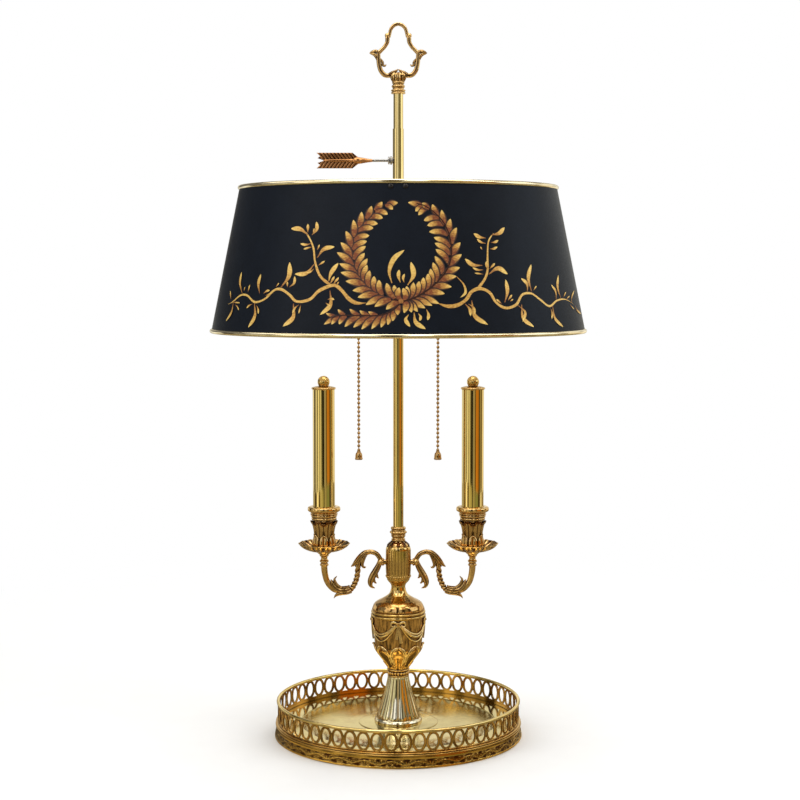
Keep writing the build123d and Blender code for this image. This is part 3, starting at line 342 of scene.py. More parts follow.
    def strip(
        self,
        path: np.ndarray,
        across: np.ndarray,
        widths: np.ndarray,
        heights: np.ndarray,
        section: Section = Section.ROUND,
        sides: int = 12,
        closed: bool = False,
        twist: float = 0.0,
        lobes: int = 0,
        lobe_depth: float = 0.0,
        root_tone: float = 0.0,
        tip_tone: float = 0.0,
        coat: int = 0,
        wrap: Optional[Callable[[np.ndarray], np.ndarray]] = None,
    ) -> None:
        """Add a section swept along a path, closed at both ends unless the path is.

        Args:
            path: the points that it follows.
            across: the direction of the section's width, one for all or one for each point.
            widths: half width at each point, or one for all.
            heights: half height at each point, or one for all.
            section: the shape of the cross section.
            sides: points round a round section.
            closed: whether the path's end joins its start.
            twist: turns of the section over the path.
            lobes: how many strands a rope has.
            lobe_depth: how deep the grooves between strands are, as a share.
            root_tone: the tone at the path's start.
            tip_tone: the tone at the path's end.
            coat: the index of its finish.
            wrap: maps the points to their last place.
        """
        count = len(path)
        if closed:
            along = unit(np.roll(path, -1, axis=0) - np.roll(path, 1, axis=0))
        else:
            along = unit(np.gradient(path, axis=0))
        side = np.broadcast_to(np.array(across, float), path.shape)
        side = unit(side - along * np.sum(side * along, axis=1, keepdims=True))
        up = np.cross(side, along)
        shape = section.outline(sides)
        share = np.linspace(0, 1, count)[:, None]
        flat_x = np.broadcast_to(shape[:, 0], (count, len(shape))).copy()
        flat_y = np.broadcast_to(shape[:, 1], (count, len(shape))).copy()
        groove = np.zeros((count, len(shape)))
        if lobes:
            angle = np.arctan2(flat_y, flat_x)
            groove = np.abs(np.sin(lobes / 2 * angle + lobes / 2 * TURN * twist * share)) ** 0.8
            flat_x, flat_y = flat_x * (1 - lobe_depth * (1 - groove)), flat_y * (1 - lobe_depth * (1 - groove))
            groove = 1 - groove
        wide = np.broadcast_to(np.asarray(widths, float), (count,))[:, None]
        high = np.broadcast_to(np.asarray(heights, float), (count,))[:, None]
        points = path[:, None] + side[:, None] * (flat_x * wide)[..., None] + up[:, None] * (flat_y * high)[..., None]
        tone = np.clip(root_tone + (tip_tone - root_tone) * share + groove, 0, 1)
        tone = np.broadcast_to(tone, points.shape[:2])
        if section is Section.LEAF:
            # The leaf's underside and edges take a darker tone, a painted shade under it; the groove along its middle
            # is darkened as patina.
            tone = np.clip(tone + (shape[:, 1] < 0.5) * 0.75, 0, 1)
        if section is Section.DOUBLE_RIM:
            # The side walls take a full dark tone and the back a little, both a painted shade; the middle groove takes
            # a light tone as patina.
            groove_patina_and_side_shade = np.where(np.abs(shape[:, 0]) > 0.95, 1.0, np.where(np.abs(shape[:, 0]) < 0.5, 0.15, 0.0))
            tone = np.clip(tone + np.where(shape[:, 1] < 0, 0.2, groove_patina_and_side_shade), 0, 1)
        edge = np.broadcast_to(np.abs(shape[:, 0]), points.shape[:2])
        if not closed:
            points = np.concatenate([path[:1, None] + points[:1] * 0, points, path[-1:, None] + points[-1:] * 0])
            tone = np.concatenate([tone[:1], tone, tone[-1:]])
            edge = np.concatenate([edge[:1], edge, edge[-1:]])
        if wrap is not None:
            points = wrap(points)
        self.grid(points, closed_rows=closed, closed_columns=True, tone=tone, edge=edge, coat=coat)

    def ball(self, centre: Point3, radius: float, sides: int = 14, stretch: float = 1.0, tone: float = 0.0) -> None:
        """Add a ball, or with stretch an upright egg."""
        up = np.linspace(-math.pi / 2, math.pi / 2, sides // 2 + 1)[:, None]
        angles = np.linspace(0, TURN, sides, endpoint=False)
        points = np.stack([
            centre[0] + radius * np.cos(up) * np.cos(angles),
            centre[1] + radius * np.cos(up) * np.sin(angles),
            centre[2] + radius * stretch * np.sin(up) * np.ones_like(angles),
        ], axis=-1)
        self.grid(points, closed_columns=True, tone=np.full(points.shape[:2], tone))

    def bead_ring(self, radius: float, height: float, bead: float, count: int, centre: Point2 = (0.0, 0.0)) -> None:
        """Add a ring of balls about an upright axis."""
        for index in range(count):
            angle = TURN * (index + 0.5) / count
            place = (centre[0] + radius * math.cos(angle), centre[1] + radius * math.sin(angle), height)
            self.ball(place, bead, sides=10)

    def leaf(
        self,
        line: Sequence[Point3],
        across: Sequence[float],
        width: float,
        thickness: float,
        teeth: int = 0,
        full_at: float = 0.4,
        per_span: int = 6,
        blunt: float = 0.0,
    ) -> None:
        """Add a cast leaf with a groove along its middle.

        Args:
            line: the points that its middle passes through, from root to tip.
            across: the direction of its width.
            width: its widest measure.
            thickness: its thickest measure.
            teeth: how many notches each border has.
            full_at: the share of its length at which it is widest.
            per_span: steps between two of the line's points.
            blunt: the width that is left at the root, as a share.
        """
        path = curve_through(line, per_span)
        share = np.linspace(0, 1, len(path))
        rise = np.where(share < full_at, share / full_at, (1 - share) / (1 - full_at))
        spread = np.sin(np.clip(rise, 0, 1) * math.pi / 2) ** 0.8
        spread = np.where(share < full_at, blunt + (1 - blunt) * spread, spread)
        notch = 1.0
        if teeth:
            notch = 1 - 0.28 * np.abs(np.sin(math.pi * teeth * share)) * (share < 0.95)
        widths = np.maximum(width / 2 * spread * notch, 0.04)
        heights = np.maximum(thickness / 2 * (0.35 + 0.65 * spread), 0.03)
        self.strip(path, np.array(across), widths, heights, Section.LEAF, root_tone=0.35)

    def take(self, other: "MeshDraft") -> None:
        """Add everything that another draft holds."""
        self.points += other.points
        self.quads += [quads + self.count for quads in other.quads]
        self.tones += other.tones
        self.edges += other.edges
        self.coats += other.coats
        self.count += other.count

    def ring_of(self, other: "MeshDraft", count: int, centre: Point2 = (0.0, 0.0), phase: float = 0.0) -> None:
        """Add copies of another draft, evenly turned about an upright axis."""
        for index in range(count):
            copy = MeshDraft()
            angle = TURN * (index + phase) / count
            copy.points = [rotate_z(points, angle, centre) for points in other.points]
            copy.quads, copy.tones, copy.edges, copy.coats = other.quads, other.tones, other.edges, other.coats
            copy.count = other.count
            self.take(copy)

    def mirrored(self) -> "MeshDraft":
        """Return the same shapes on the other side of the lamp."""
        other = MeshDraft()
        other.points = [points * np.array([-1.0, 1.0, 1.0]) for points in self.points]
        other.quads = [quads[:, ::-1] for quads in self.quads]
        other.tones, other.edges, other.coats, other.count = self.tones, self.edges, self.coats, self.count
        return other

    def make(
        self,
        name: str,
        body: str,
        slot: str,
        finishes: Sequence[bpy.types.Material],
        replaces: Sequence[str] = (),
    ) -> bpy.types.Object:
        """Make the object, dress it, and tie it to the frame.

        Args:
            name: the piece's name.
            body: the body that it rides on.
            slot: the record's material slot; not used.
            finishes: its materials, in the order of the coats.
            replaces: the frame's nodes that it stands for.

        Returns:
            The finished object.
        """
        mesh = bpy.data.meshes.new(name)
        points = np.concatenate(self.points) * MILLIMETRE
        quads = np.concatenate(self.quads)
        mesh.vertices.add(len(points))
        mesh.vertices.foreach_set("co", points.astype(np.float32).ravel())
        mesh.loops.add(quads.size)
        mesh.loops.foreach_set("vertex_index", quads.astype(np.int32).ravel())
        mesh.polygons.add(len(quads))
        mesh.polygons.foreach_set("loop_start", np.arange(0, quads.size, 4, dtype=np.int32))
        mesh.polygons.foreach_set("material_index", np.concatenate(self.coats).astype(np.int32))
        for attribute, values in (("tone", self.tones), ("edge", self.edges)):
            layer = mesh.attributes.new(attribute, "FLOAT", "POINT")
            layer.data.foreach_set("value", np.concatenate(values).astype(np.float32))
        mesh.update(calc_edges=True)
        clean = bmesh.new()
        clean.from_mesh(mesh)
        bmesh.ops.remove_doubles(clean, verts=clean.verts, dist=SEAM_DISTANCE)
        bmesh.ops.recalc_face_normals(clean, faces=clean.faces)
        clean.to_mesh(mesh)
        clean.free()
        mesh.shade_smooth()
        mesh.set_sharp_from_angle(angle=SHARP_ANGLE)
        for finish in finishes:
            mesh.materials.append(finish)
        piece = bpy.data.objects.new(name, mesh)
        bpy.context.scene.collection.objects.link(piece)
        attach(piece, body)
        if replaces:
            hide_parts(*replaces)
        log.info("%s: %d points", name, len(mesh.vertices))
        return piece


class NodeBench:
    """Builds the nodes of one material or world step by step."""

    def __init__(self, name: str, owner: Optional[bpy.types.World] = None) -> None:
        """Start with no nodes, in a new material or in the owner's tree."""
        self.material = owner or bpy.data.materials.new(name)
        self.material.use_nodes = True
        self.tree = self.material.node_tree
        self.tree.nodes.clear()

    def add(self, kind: str, **settings: object) -> bpy.types.Node:
        """Add a node of a kind, with its own settings."""
        node = self.tree.nodes.new(f"ShaderNode{kind}")
        for setting, value in settings.items():
            setattr(node, setting, value)
        return node

    def join(self, source: object, target: bpy.types.NodeSocket) -> None:
        """Link a socket to another, or set the socket where source is a plain value."""
        if isinstance(source, bpy.types.NodeSocket):
            self.tree.links.new(source, target)
        elif isinstance(source, tuple) and len(source) == 3 and target.type == "RGBA":
            target.default_value = (*source, 1.0)
        else:
            target.default_value = source

    def place(self, stretch: Point3 = (1.0, 1.0, 1.0)) -> bpy.types.NodeSocket:
        """Return the point's place in the lamp's own frame, in metres, stretched."""
        mapping = self.add("Mapping")
        self.join(self.add("TexCoord").outputs["Object"], mapping.inputs["Vector"])
        mapping.inputs["Scale"].default_value = stretch
        return mapping.outputs["Vector"]

    def noise(self, scale: float, detail: float = 3.0, stretch: Point3 = (1.0, 1.0, 1.0)) -> bpy.types.NodeSocket:
        """Return a noise from 0 to 1, with so many waves per metre."""
        node = self.add("TexNoise")
        self.join(self.place(stretch), node.inputs["Vector"])
        node.inputs["Scale"].default_value = scale
        node.inputs["Detail"].default_value = detail
        return node.outputs["Fac"]

    def sum(self, operation: str, first: object, second: object, clamp: bool = False) -> bpy.types.NodeSocket:
        """Return a sum of two values, of the kind that operation names."""
        node = self.add("Math", operation=operation, use_clamp=clamp)
        self.join(first, node.inputs[0])
        self.join(second, node.inputs[1])
        return node.outputs[0]

    def spread(self, value: object, low: float, high: float, start: float = 0.0, end: float = 1.0) -> bpy.types.NodeSocket:
        """Return a value mapped from start..end to low..high, and held at the ends."""
        node = self.add("MapRange")
        for target, source in zip(node.inputs, (value, start, end, low, high)):
            self.join(source, target)
        return node.outputs[0]

    def mix(self, share: object, first: object, second: object) -> bpy.types.NodeSocket:
        """Return a colour between two."""
        node = self.add("Mix", data_type="RGBA")
        self.join(share, node.inputs["Factor"])
        self.join(first, node.inputs[6])
        self.join(second, node.inputs[7])
        return node.outputs[2]

    def mark(self, name: str) -> bpy.types.NodeSocket:
        """Return a value that the mesh carries on its points."""
        return self.add("Attribute", attribute_name=name).outputs["Fac"]

    def crevice(self, distance: float) -> bpy.types.NodeSocket:
        """Return 1 deep in a crevice and 0 in the open, for crevices of about a distance."""
        node = self.add("AmbientOcclusion", samples=6)
        node.inputs["Distance"].default_value = distance
        return self.sum("SUBTRACT", 1.0, node.outputs["AO"])

    def bump(self, height: bpy.types.NodeSocket, depth: float) -> bpy.types.NodeSocket:
        """Return the normal that a height gives, with a depth in metres."""
        node = self.add("Bump")
        node.inputs["Distance"].default_value = depth
        self.join(height, node.inputs["Height"])
        return node.outputs["Normal"]

    def finish(self, **inputs: object) -> bpy.types.Material:
        """Return the material, with a surface shader that takes the given inputs.

        Args:
            inputs: the shader's inputs by name, with _ for a space, each a value or a socket.

        Returns:
            The finished material.
        """
        shader = self.add("BsdfPrincipled")
        for name, source in inputs.items():
            self.join(source, shader.inputs[name.replace("_", " ")])
        self.join(shader.outputs["BSDF"], self.add("OutputMaterial").inputs["Surface"])
        return self.material


@dataclass(frozen=True)
class Metal:
    """A metal finish: its clean colour, a deep colour that stands for patina in recesses and for painted shade in
    crevices, and its grain.
    """

    name: str
    clean: Colour
    deep: Colour
    roughness: float = 0.12
    recess: float = 0.9
    # How strongly crevices that ambient occlusion finds are darkened towards the deep colour: a painted shade.
    crevice: float = 0.0
    crevice_size: float = 0.004
    mottle: float = 0.12
    dull: float = 0.07
    grain_waves: float = 900.0
    grain_depth: float = 0.00002
    stretch: Point3 = (1.0, 1.0, 1.0)

    def material(self) -> bpy.types.Material:
        """Return the node material of this metal."""
        bench = NodeBench(self.name)
        patches = bench.noise(55.0, 5.0)
        grain = bench.noise(self.grain_waves, 4.0, self.stretch)
        # The deep colour comes in with the tone, patina in recesses and painted shade where the mesh marks it, and with
        # random patches.
        patina_and_shade = bench.sum("MULTIPLY", bench.mark("tone"), self.recess)
        if self.crevice:
            # Crevices found by ambient occlusion are darkened too: a painted shade.
            painted_crevice_shade = bench.spread(bench.crevice(self.crevice_size), 0.0, self.crevice, 0.12, 0.75)
            patina_and_shade = bench.sum("ADD", patina_and_shade, painted_crevice_shade)
        uneven = bench.spread(patches, -self.mottle, self.mottle * 1.6, 0.3, 0.75)
        patina_and_shade = bench.sum("ADD", patina_and_shade, uneven, clamp=True)
        rough = bench.sum("ADD", bench.spread(grain, self.roughness * 0.7, self.roughness * 1.4, 0.3, 0.7),
                          bench.spread(patina_and_shade, 0.0, self.dull))
        return bench.finish(
            Base_Color=bench.mix(patina_and_shade, self.clean, self.deep),
            Metallic=1.0,
            Roughness=rough,
            Normal=bench.bump(grain, self.grain_depth),
        )


@dataclass(frozen=True)
class Paint:
    """A painted, moulded or woven finish with an even colour that noise breaks up."""

    name: str
    light: Colour
    dark: Colour
    roughness: float = 0.5
    waves: float = 300.0
    bump_depth: float = 0.00005
    metallic: float = 0.0
    coat: float = 0.0
    coat_roughness: float = 0.1
    sheen: float = 0.0
    specular: float = 0.5
    transmission: float = 0.0

    def material(self) -> bpy.types.Material:
        """Return the node material of this paint."""
        bench = NodeBench(self.name)
        fine = bench.noise(self.waves, 5.0)
        broad = bench.noise(self.waves / 12, 2.0)
        share = bench.spread(bench.sum("ADD", bench.sum("MULTIPLY", fine, 0.6), bench.sum("MULTIPLY", broad, 0.4)),
                             0.0, 1.0, 0.3, 0.7)
        return bench.finish(
            Base_Color=bench.mix(share, self.light, self.dark),
            Metallic=self.metallic,
            Roughness=bench.spread(fine, self.roughness * 0.85, self.roughness * 1.15, 0.3, 0.7),
            Coat_Weight=self.coat,
            Coat_Roughness=self.coat_roughness,
            Sheen_Weight=self.sheen,
            Specular_IOR_Level=self.specular,
            Transmission_Weight=self.transmission,
            Normal=bench.bump(fine, self.bump_depth),
        )


@dataclass(frozen=True)
class GiltPaint:
    """Hand-painted gold: pale at a stroke's tip, brown at its root, and dark along its borders."""

    name: str = "gilt_vine"
    border: Point2 = (0.84, 0.97)
    tip: Colour = (0.84, 0.58, 0.15)
    middle: Colour = (0.56, 0.29, 0.05)
    root: Colour = (0.20, 0.045, 0.007)
    outline: Colour = (0.030, 0.010, 0.005)
    streak_waves: float = 420.0

    def material(self) -> bpy.types.Material:
        """Return the node material of the gilt strokes."""
        bench = NodeBench(self.name)
        streak = bench.spread(bench.noise(self.streak_waves, 3.0, (1.0, 1.0, 2.2)), -0.26, 0.26, 0.25, 0.75)
        tone = bench.sum("ADD", bench.mark("tone"), streak, clamp=True)
        near_tip = bench.mix(bench.spread(tone, 0.0, 1.0, 0.0, 0.5), self.tip, self.middle)
        gold = bench.mix(bench.spread(tone, 0.0, 1.0, 0.45, 1.0), near_tip, self.root)
        border = bench.spread(bench.mark("edge"), 0.0, 1.0, *self.border)
        return bench.finish(
            Base_Color=bench.mix(border, gold, self.outline),
            Metallic=0.2,
            Roughness=bench.spread(tone, 0.42, 0.6),
            Normal=bench.bump(streak, 0.00006),
        )


@dataclass(frozen=True)
class Workshop:
    """Every finish of the lamp, and the CAD nodes that keep their shape and only take one."""

    metals: Tuple[Metal, ...] = (
        Metal("polished_brass", (0.86, 0.76, 0.52), (0.14, 0.08, 0.025), roughness=0.04, recess=0.8, mottle=0.06),
        Metal("plate_brass", (0.68, 0.55, 0.22), (0.28, 0.15, 0.03), roughness=0.10, recess=0.6, mottle=0.10,
              grain_waves=500.0, grain_depth=0.000006),
        Metal("tube_brass", (0.86, 0.64, 0.25), (0.40, 0.24, 0.06), roughness=0.05, mottle=0.08,
              stretch=(1.0, 1.0, 0.04), grain_depth=0.000006),
        Metal("candle_brass", (0.86, 0.66, 0.27), (0.42, 0.24, 0.05), roughness=0.045, mottle=0.07,
              stretch=(1.0, 1.0, 0.04), grain_depth=0.000003),
        Metal("cast_brass", (0.84, 0.54, 0.21), (0.085, 0.025, 0.006), roughness=0.06, recess=1.1, crevice=0.9, crevice_size=0.003,
              grain_waves=1400.0, grain_depth=0.00003),
        Metal("gallery_brass", (0.75, 0.455, 0.13), (0.080, 0.024, 0.005), roughness=0.09, recess=1.1, crevice=0.8,
              crevice_size=0.003, grain_waves=1100.0, grain_depth=0.00003),
        Metal("engraved_brass", (0.82, 0.50, 0.12), (0.090, 0.030, 0.007), roughness=0.12, recess=1.15, mottle=0.15,
              grain_waves=900.0, grain_depth=0.0001),
        Metal("hub_brass", (0.80, 0.53, 0.18), (0.075, 0.022, 0.005), roughness=0.045, recess=1.1, crevice=0.9),
        # The next two are darker and brighter copies of the hub's brass: a painted shade on the urn's body, leaves and
        # cover, and a painted highlight on its ribbons.
        Metal("urn_brass_painted_shade", (0.60, 0.345, 0.11), (0.045, 0.011, 0.003), roughness=0.045, recess=1.1, crevice=0.9),
        Metal("swag_brass_painted_highlight", (0.95, 0.70, 0.33), (0.10, 0.030, 0.006), roughness=0.07, recess=0.6, crevice=0.5),
        Metal("chain_brass", (0.58, 0.35, 0.14), (0.06, 0.02, 0.006), roughness=0.10, crevice=0.9,
              crevice_size=0.002),
        Metal("rim_brass", (0.93, 0.79, 0.50), (0.46, 0.32, 0.14), roughness=0.10, mottle=0.1),
        Metal("key_brass", (0.48, 0.22, 0.08), (0.026, 0.007, 0.003), roughness=0.14, recess=1.2, crevice=0.9,
              crevice_size=0.003),
        Metal("steel", (0.56, 0.56, 0.55), (0.20, 0.19, 0.18), roughness=0.28, crevice=0.4),
        Metal("key_steel", (0.40, 0.38, 0.35), (0.05, 0.04, 0.035), roughness=0.2, crevice=0.8, crevice_size=0.002),
        Metal("spider_steel", (0.62, 0.60, 0.56), (0.22, 0.20, 0.17), roughness=0.34, mottle=0.2),
        Metal("lamp_cap_metal", (0.72, 0.71, 0.69), (0.30, 0.29, 0.28), roughness=0.22),
        Metal("dark_screw", (0.060, 0.056, 0.055), (0.015, 0.013, 0.012), roughness=0.3, crevice=0.5),
        Metal("cast_iron", (0.10, 0.10, 0.10), (0.03, 0.028, 0.026), roughness=0.6, grain_waves=350.0,
              grain_depth=0.0004),
    )
    paints: Tuple[Paint, ...] = (
        Paint("stem_brown", (0.040, 0.011, 0.005), (0.022, 0.007, 0.004), roughness=0.5, specular=0.2),
        Paint("black_enamel", (0.0058, 0.0088, 0.0150), (0.0036, 0.0054, 0.0095), roughness=0.40, waves=700.0,
              bump_depth=0.000018, specular=0.11),
        Paint("cream_lining", (0.86, 0.81, 0.70), (0.80, 0.74, 0.62), roughness=0.6, waves=500.0),
        Paint("felt", (0.035, 0.085, 0.045), (0.012, 0.035, 0.018), roughness=0.95, waves=1800.0, bump_depth=0.0003,
              sheen=0.6),
        Paint("insulator", (0.050, 0.028, 0.018), (0.028, 0.015, 0.010), roughness=0.38, waves=400.0),
        Paint("lead_jacket", (0.20, 0.115, 0.045), (0.13, 0.07, 0.026), roughness=0.42, waves=300.0),
        Paint("bulb_glass", (0.93, 0.92, 0.88), (0.88, 0.87, 0.83), roughness=0.32, waves=160.0,
              bump_depth=0.00001, coat=0.5, coat_roughness=0.08, transmission=0.35),
    )
    kept: Tuple[Tuple[str, Tuple[str, ...]], ...] = (
        ("felt", ("felt_pad",)),
        ("cast_iron", ("base_weight",)),
        ("steel", ("base_washer", "base_nut", "threaded_pipe", "socket_nipples", "candle_rods")),
        ("insulator", ("cord_bushing", "socket_cores")),
        ("lead_jacket", ("supply_lead",)),
        ("cast_brass", ("cluster_body", "cluster_cap")),
        ("tube_brass", ("socket_caps", "socket_shells", "sleeve_nut")),
        ("lamp_cap_metal", ("bulb_caps",)),
        ("bulb_glass", ("bulbs",)),
        ("spider_steel", ("spider",)),
    )

    def make(self) -> Finishes:
        """Return every finish's material by name."""
        finishes = {finish.name: finish.material() for finish in (*self.metals, *self.paints)}
        for gilt in (GiltPaint(), GiltPaint("gilt_wreath", (0.54, 0.76))):
            finishes[gilt.name] = gilt.material()
        return finishes

    def dress_kept_nodes(self, finishes: Finishes) -> None:
        """Give each kept CAD node its finish."""
        for finish, nodes in self.kept:
            for name in nodes:
                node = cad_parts[name]
                if not node.material_slots:
                    node.data.materials.append(finishes[finish])
                for slot in node.material_slots:
                    slot.material = finishes[finish]
            log.info("%s on %s", finish, ", ".join(nodes))


@dataclass
class Studio:
    """The plain pale floor, the soft lamps, the screens that the brass reflects, and the camera, in metres."""

    lens: float = 74.79
    sensor: float = 36.0
    camera_place: Point3 = (0.0017, -1.6542, 0.4658)
    camera_drop: float = 4.404
    floor_size: float = 40.0
    floor_tint: Colour = (0.93, 0.93, 0.925)
    fade_start: float = 0.30
    fade_end: float = 0.95
    ambient: float = 0.68
    lamps: Tuple[Tuple[str, Point3, Point2, float], ...] = (
        ("left_box", (-1.9, -1.5, 1.35), (1.1, 1.6), 13.0),
        ("right_box", (2.2, -0.9, 1.7), (1.4, 1.6), 15.0),
        ("top_box", (0.0, 0.1, 2.5), (1.5, 1.5), 20.0),
        ("back_box", (0.9, 2.1, 1.5), (0.8, 1.2), 8.0),
    )
    screen_radius: float = 1.18
    table_size: float = 2.3
    table_tint: Colour = (0.55, 0.47, 0.28)
    # What the polished brass reflects, between two heights: each screen reaches from the end of the
    # last one to a compass angle, from the front towards the right, and has a colour.
    first_angle: float = -150.0
    base_screens: Tuple[Tuple[float, Colour], ...] = (
        (-110.0, (0.60, 0.55, 0.40)), (-80.0, (0.10, 0.07, 0.03)), (-58.0, (1.20, 1.10, 0.80)),
        (-40.0, (0.16, 0.12, 0.05)), (-20.0, (0.62, 0.56, 0.28)), (-4.0, (0.46, 0.42, 0.18)),
        (4.0, (0.06, 0.04, 0.015)), (30.0, (0.54, 0.50, 0.24)), (60.0, (0.30, 0.33, 0.13)),
        (80.0, (0.08, 0.05, 0.02)), (105.0, (1.10, 1.02, 0.78)), (150.0, (0.40, 0.32, 0.18)),
        (210.0, (1.00, 0.96, 0.80)),
    )
    low_screens: Tuple[Tuple[float, Colour], ...] = (
        (-118.0, (1.00, 1.00, 0.90)), (-101.0, (0.07, 0.05, 0.02)), (-88.0, (0.60, 0.58, 0.46)),
        (-73.0, (0.95, 0.92, 0.74)), (-61.0, (0.22, 0.20, 0.09)), (-49.0, (1.10, 1.06, 0.80)),
        (-39.0, (0.34, 0.32, 0.18)), (-27.0, (0.78, 0.74, 0.52)), (-15.0, (0.14, 0.13, 0.06)),
        (2.0, (0.015, 0.010, 0.003)), (13.0, (0.56, 0.52, 0.36)), (24.0, (0.66, 0.54, 0.28)),
        (33.0, (0.20, 0.12, 0.03)), (64.0, (0.74, 0.29, 0.03)), (76.0, (0.12, 0.09, 0.03)),
        (94.0, (0.46, 0.39, 0.20)), (108.0, (0.16, 0.11, 0.04)), (150.0, (1.05, 0.96, 0.76)), (210.0, (1.00, 0.96, 0.80)),
    )
    high_screens: Tuple[Tuple[float, Colour], ...] = (
        (-90.0, (0.22, 0.22, 0.22)), (-66.0, (0.40, 0.42, 0.46)), (-40.0, (1.50, 1.50, 1.55)),
        (-29.0, (0.20, 0.19, 0.14)), (-9.0, (1.30, 1.38, 1.60)), (2.0, (0.07, 0.06, 0.04)),
        (17.0, (0.90, 0.95, 1.00)), (32.0, (0.09, 0.08, 0.05)), (48.0, (0.42, 0.40, 0.28)),
        (62.0, (0.10, 0.09, 0.06)), (98.0, (1.50, 1.65, 1.80)),
        (150.0, (1.00, 1.00, 0.95)), (210.0, (0.70, 0.67, 0.56)),
    )
    sky_screens: Tuple[Tuple[float, Colour], ...] = (
        (-112.0, (0.30, 0.28, 0.22)), (-88.0, (3.20, 3.20, 3.20)), (-42.0, (1.80, 1.70, 1.40)),
        (-26.0, (6.00, 6.00, 6.00)), (-14.0, (2.20, 2.10, 1.80)), (6.0, (0.30, 0.26, 0.18)),
        (20.0, (5.00, 5.00, 5.00)), (53.0, (1.80, 1.60, 1.20)), (66.0, (6.00, 6.00, 6.00)),
        (96.0, (1.20, 1.10, 0.90)), (116.0, (2.40, 2.40, 2.40)), (210.0, (0.45, 0.42, 0.34)),
    )

    def seen_plainly(self, bench: NodeBench) -> bpy.types.NodeSocket:
        """Return 1 for camera, glossy and transmission rays, and 0 for the rest."""
        path = bench.add("LightPath")
        seen = bench.sum("ADD", path.outputs["Is Camera Ray"], path.outputs["Is Glossy Ray"])
        return bench.sum("ADD", seen, path.outputs["Is Transmission Ray"], clamp=True)

    def build_world(self) -> None:
        """Make a white surrounding that lights the lamp softly."""
        world = bpy.data.worlds.new("white_room")
        bpy.context.scene.world = world
        bench = NodeBench(world.name, world)
        plain = bench.add("Background")
        bench.join((1.0, 1.0, 1.0), plain.inputs["Color"])
        soft = bench.add("Background")
        bench.join((1.0, 0.99, 0.97), soft.inputs["Color"])
        bench.join(self.ambient, soft.inputs["Strength"])
        blend = bench.add("MixShader")
        bench.join(self.seen_plainly(bench), blend.inputs[0])
        bench.join(soft.outputs[0], blend.inputs[1])
        bench.join(plain.outputs[0], blend.inputs[2])
        bench.join(blend.outputs[0], bench.add("OutputWorld").inputs["Surface"])

    def panel(self, name: str, corners: Sequence[Point3], material: bpy.types.Material) -> bpy.types.Object:
        """Make a flat four-cornered piece of the studio."""
        mesh = bpy.data.meshes.new(name)
        mesh.from_pydata(list(corners), [], [(0, 1, 2, 3)])
        mesh.materials.append(material)
        panel = bpy.data.objects.new(name, mesh)
        bpy.context.scene.collection.objects.link(panel)
        return panel

    def build_floor(self) -> None:
        """Lay the pale floor, which fades into the white surrounding away from the lamp."""
        bench = NodeBench("pale_floor")
        grain = bench.noise(30.0, 4.0)
        plain = bench.add("BsdfPrincipled")
        bench.join(bench.mix(bench.spread(grain, 0.0, 1.0, 0.3, 0.7), self.floor_tint, (0.915, 0.915, 0.91)),
                   plain.inputs["Base Color"])
        plain.inputs["Roughness"].default_value = 0.85
        plain.inputs["Specular IOR Level"].default_value = 0.1
        reach = bench.add("VectorMath", operation="LENGTH")
        bench.join(bench.place(), reach.inputs[0])
        far = bench.spread(reach.outputs["Value"], 0.0, 1.0, self.fade_start, self.fade_end)
        white = bench.add("Emission")
        bench.join((1.0, 1.0, 1.0), white.inputs["Color"])
        blend = bench.add("MixShader")
        bench.join(bench.sum("MULTIPLY", far, self.seen_plainly(bench)), blend.inputs[0])
        bench.join(plain.outputs[0], blend.inputs[1])
        bench.join(white.outputs[0], blend.inputs[2])
        bench.join(blend.outputs[0], bench.add("OutputMaterial").inputs["Surface"])
        half = self.floor_size / 2
        level = -0.0002
        corners = [(-half, -half, level), (half, -half, level), (half, half, level), (-half, half, level)]
        self.panel("floor", corners, bench.material)

    def build_screens(self) -> None:
        """Stand the curved screens that the metal reflects, out of every picture and out of the light's way."""
        tiers = ((self.base_screens, 0.0, 0.10, 0.6, 2.4), (self.low_screens, 0.10, 0.45, 0.6, 2.4),
                 (self.high_screens, 0.45, 1.15, 0.5, 2.4), (self.sky_screens, 1.15, 3.0, 0.06, 4.0))
        for row, bottom, top, low_share, waves in tiers:
            low, high = Vector((0.0, 0.0, bottom)), Vector((0.0, 0.0, top))
            start = self.first_angle
            for end, colour in row:
                name = f"screen_{int(bottom * 100)}_{int(end)}"
                glow = self.glow(name, colour, low_share, waves)
                places = [Vector((math.sin(angle), -math.cos(angle), 0.0)) * self.screen_radius
                          for angle in np.radians(np.linspace(start, end, 5))]
                for part, (left, right) in enumerate(zip(places, places[1:])):
                    self.hide(self.panel(f"{name}_{part}", (left + low, right + low, right + high, left + high), glow))
                start = end
        half, level = self.table_size / 2, -0.0001
        corners = [(-half, -half, level), (half, -half, level), (half, half, level), (-half, half, level)]
        self.hide(self.panel("table", corners, self.glow("table", self.table_tint, 0.1, 18.0)))

    def glow(self, name: str, colour: Colour, low_share: float, waves: float) -> bpy.types.Material:
        """Return a material that shines in a colour, down to a share of it in patches of so many waves a metre."""
        bench = NodeBench(name)
        shine = bench.add("Emission")
        dim = tuple(value * low_share for value in colour)
        bench.join(bench.mix(bench.spread(bench.noise(waves, 2.0), 0.0, 1.0, 0.42, 0.62), colour, dim),
                   shine.inputs["Color"])
        bench.join(shine.outputs[0], bench.add("OutputMaterial").inputs["Surface"])
        return bench.material

    def hide(self, screen: bpy.types.Object) -> None:
        """Keep a screen out of the picture and out of the light's way, so that only metal reflects it."""
        screen.visible_camera = screen.visible_shadow = screen.visible_diffuse = False

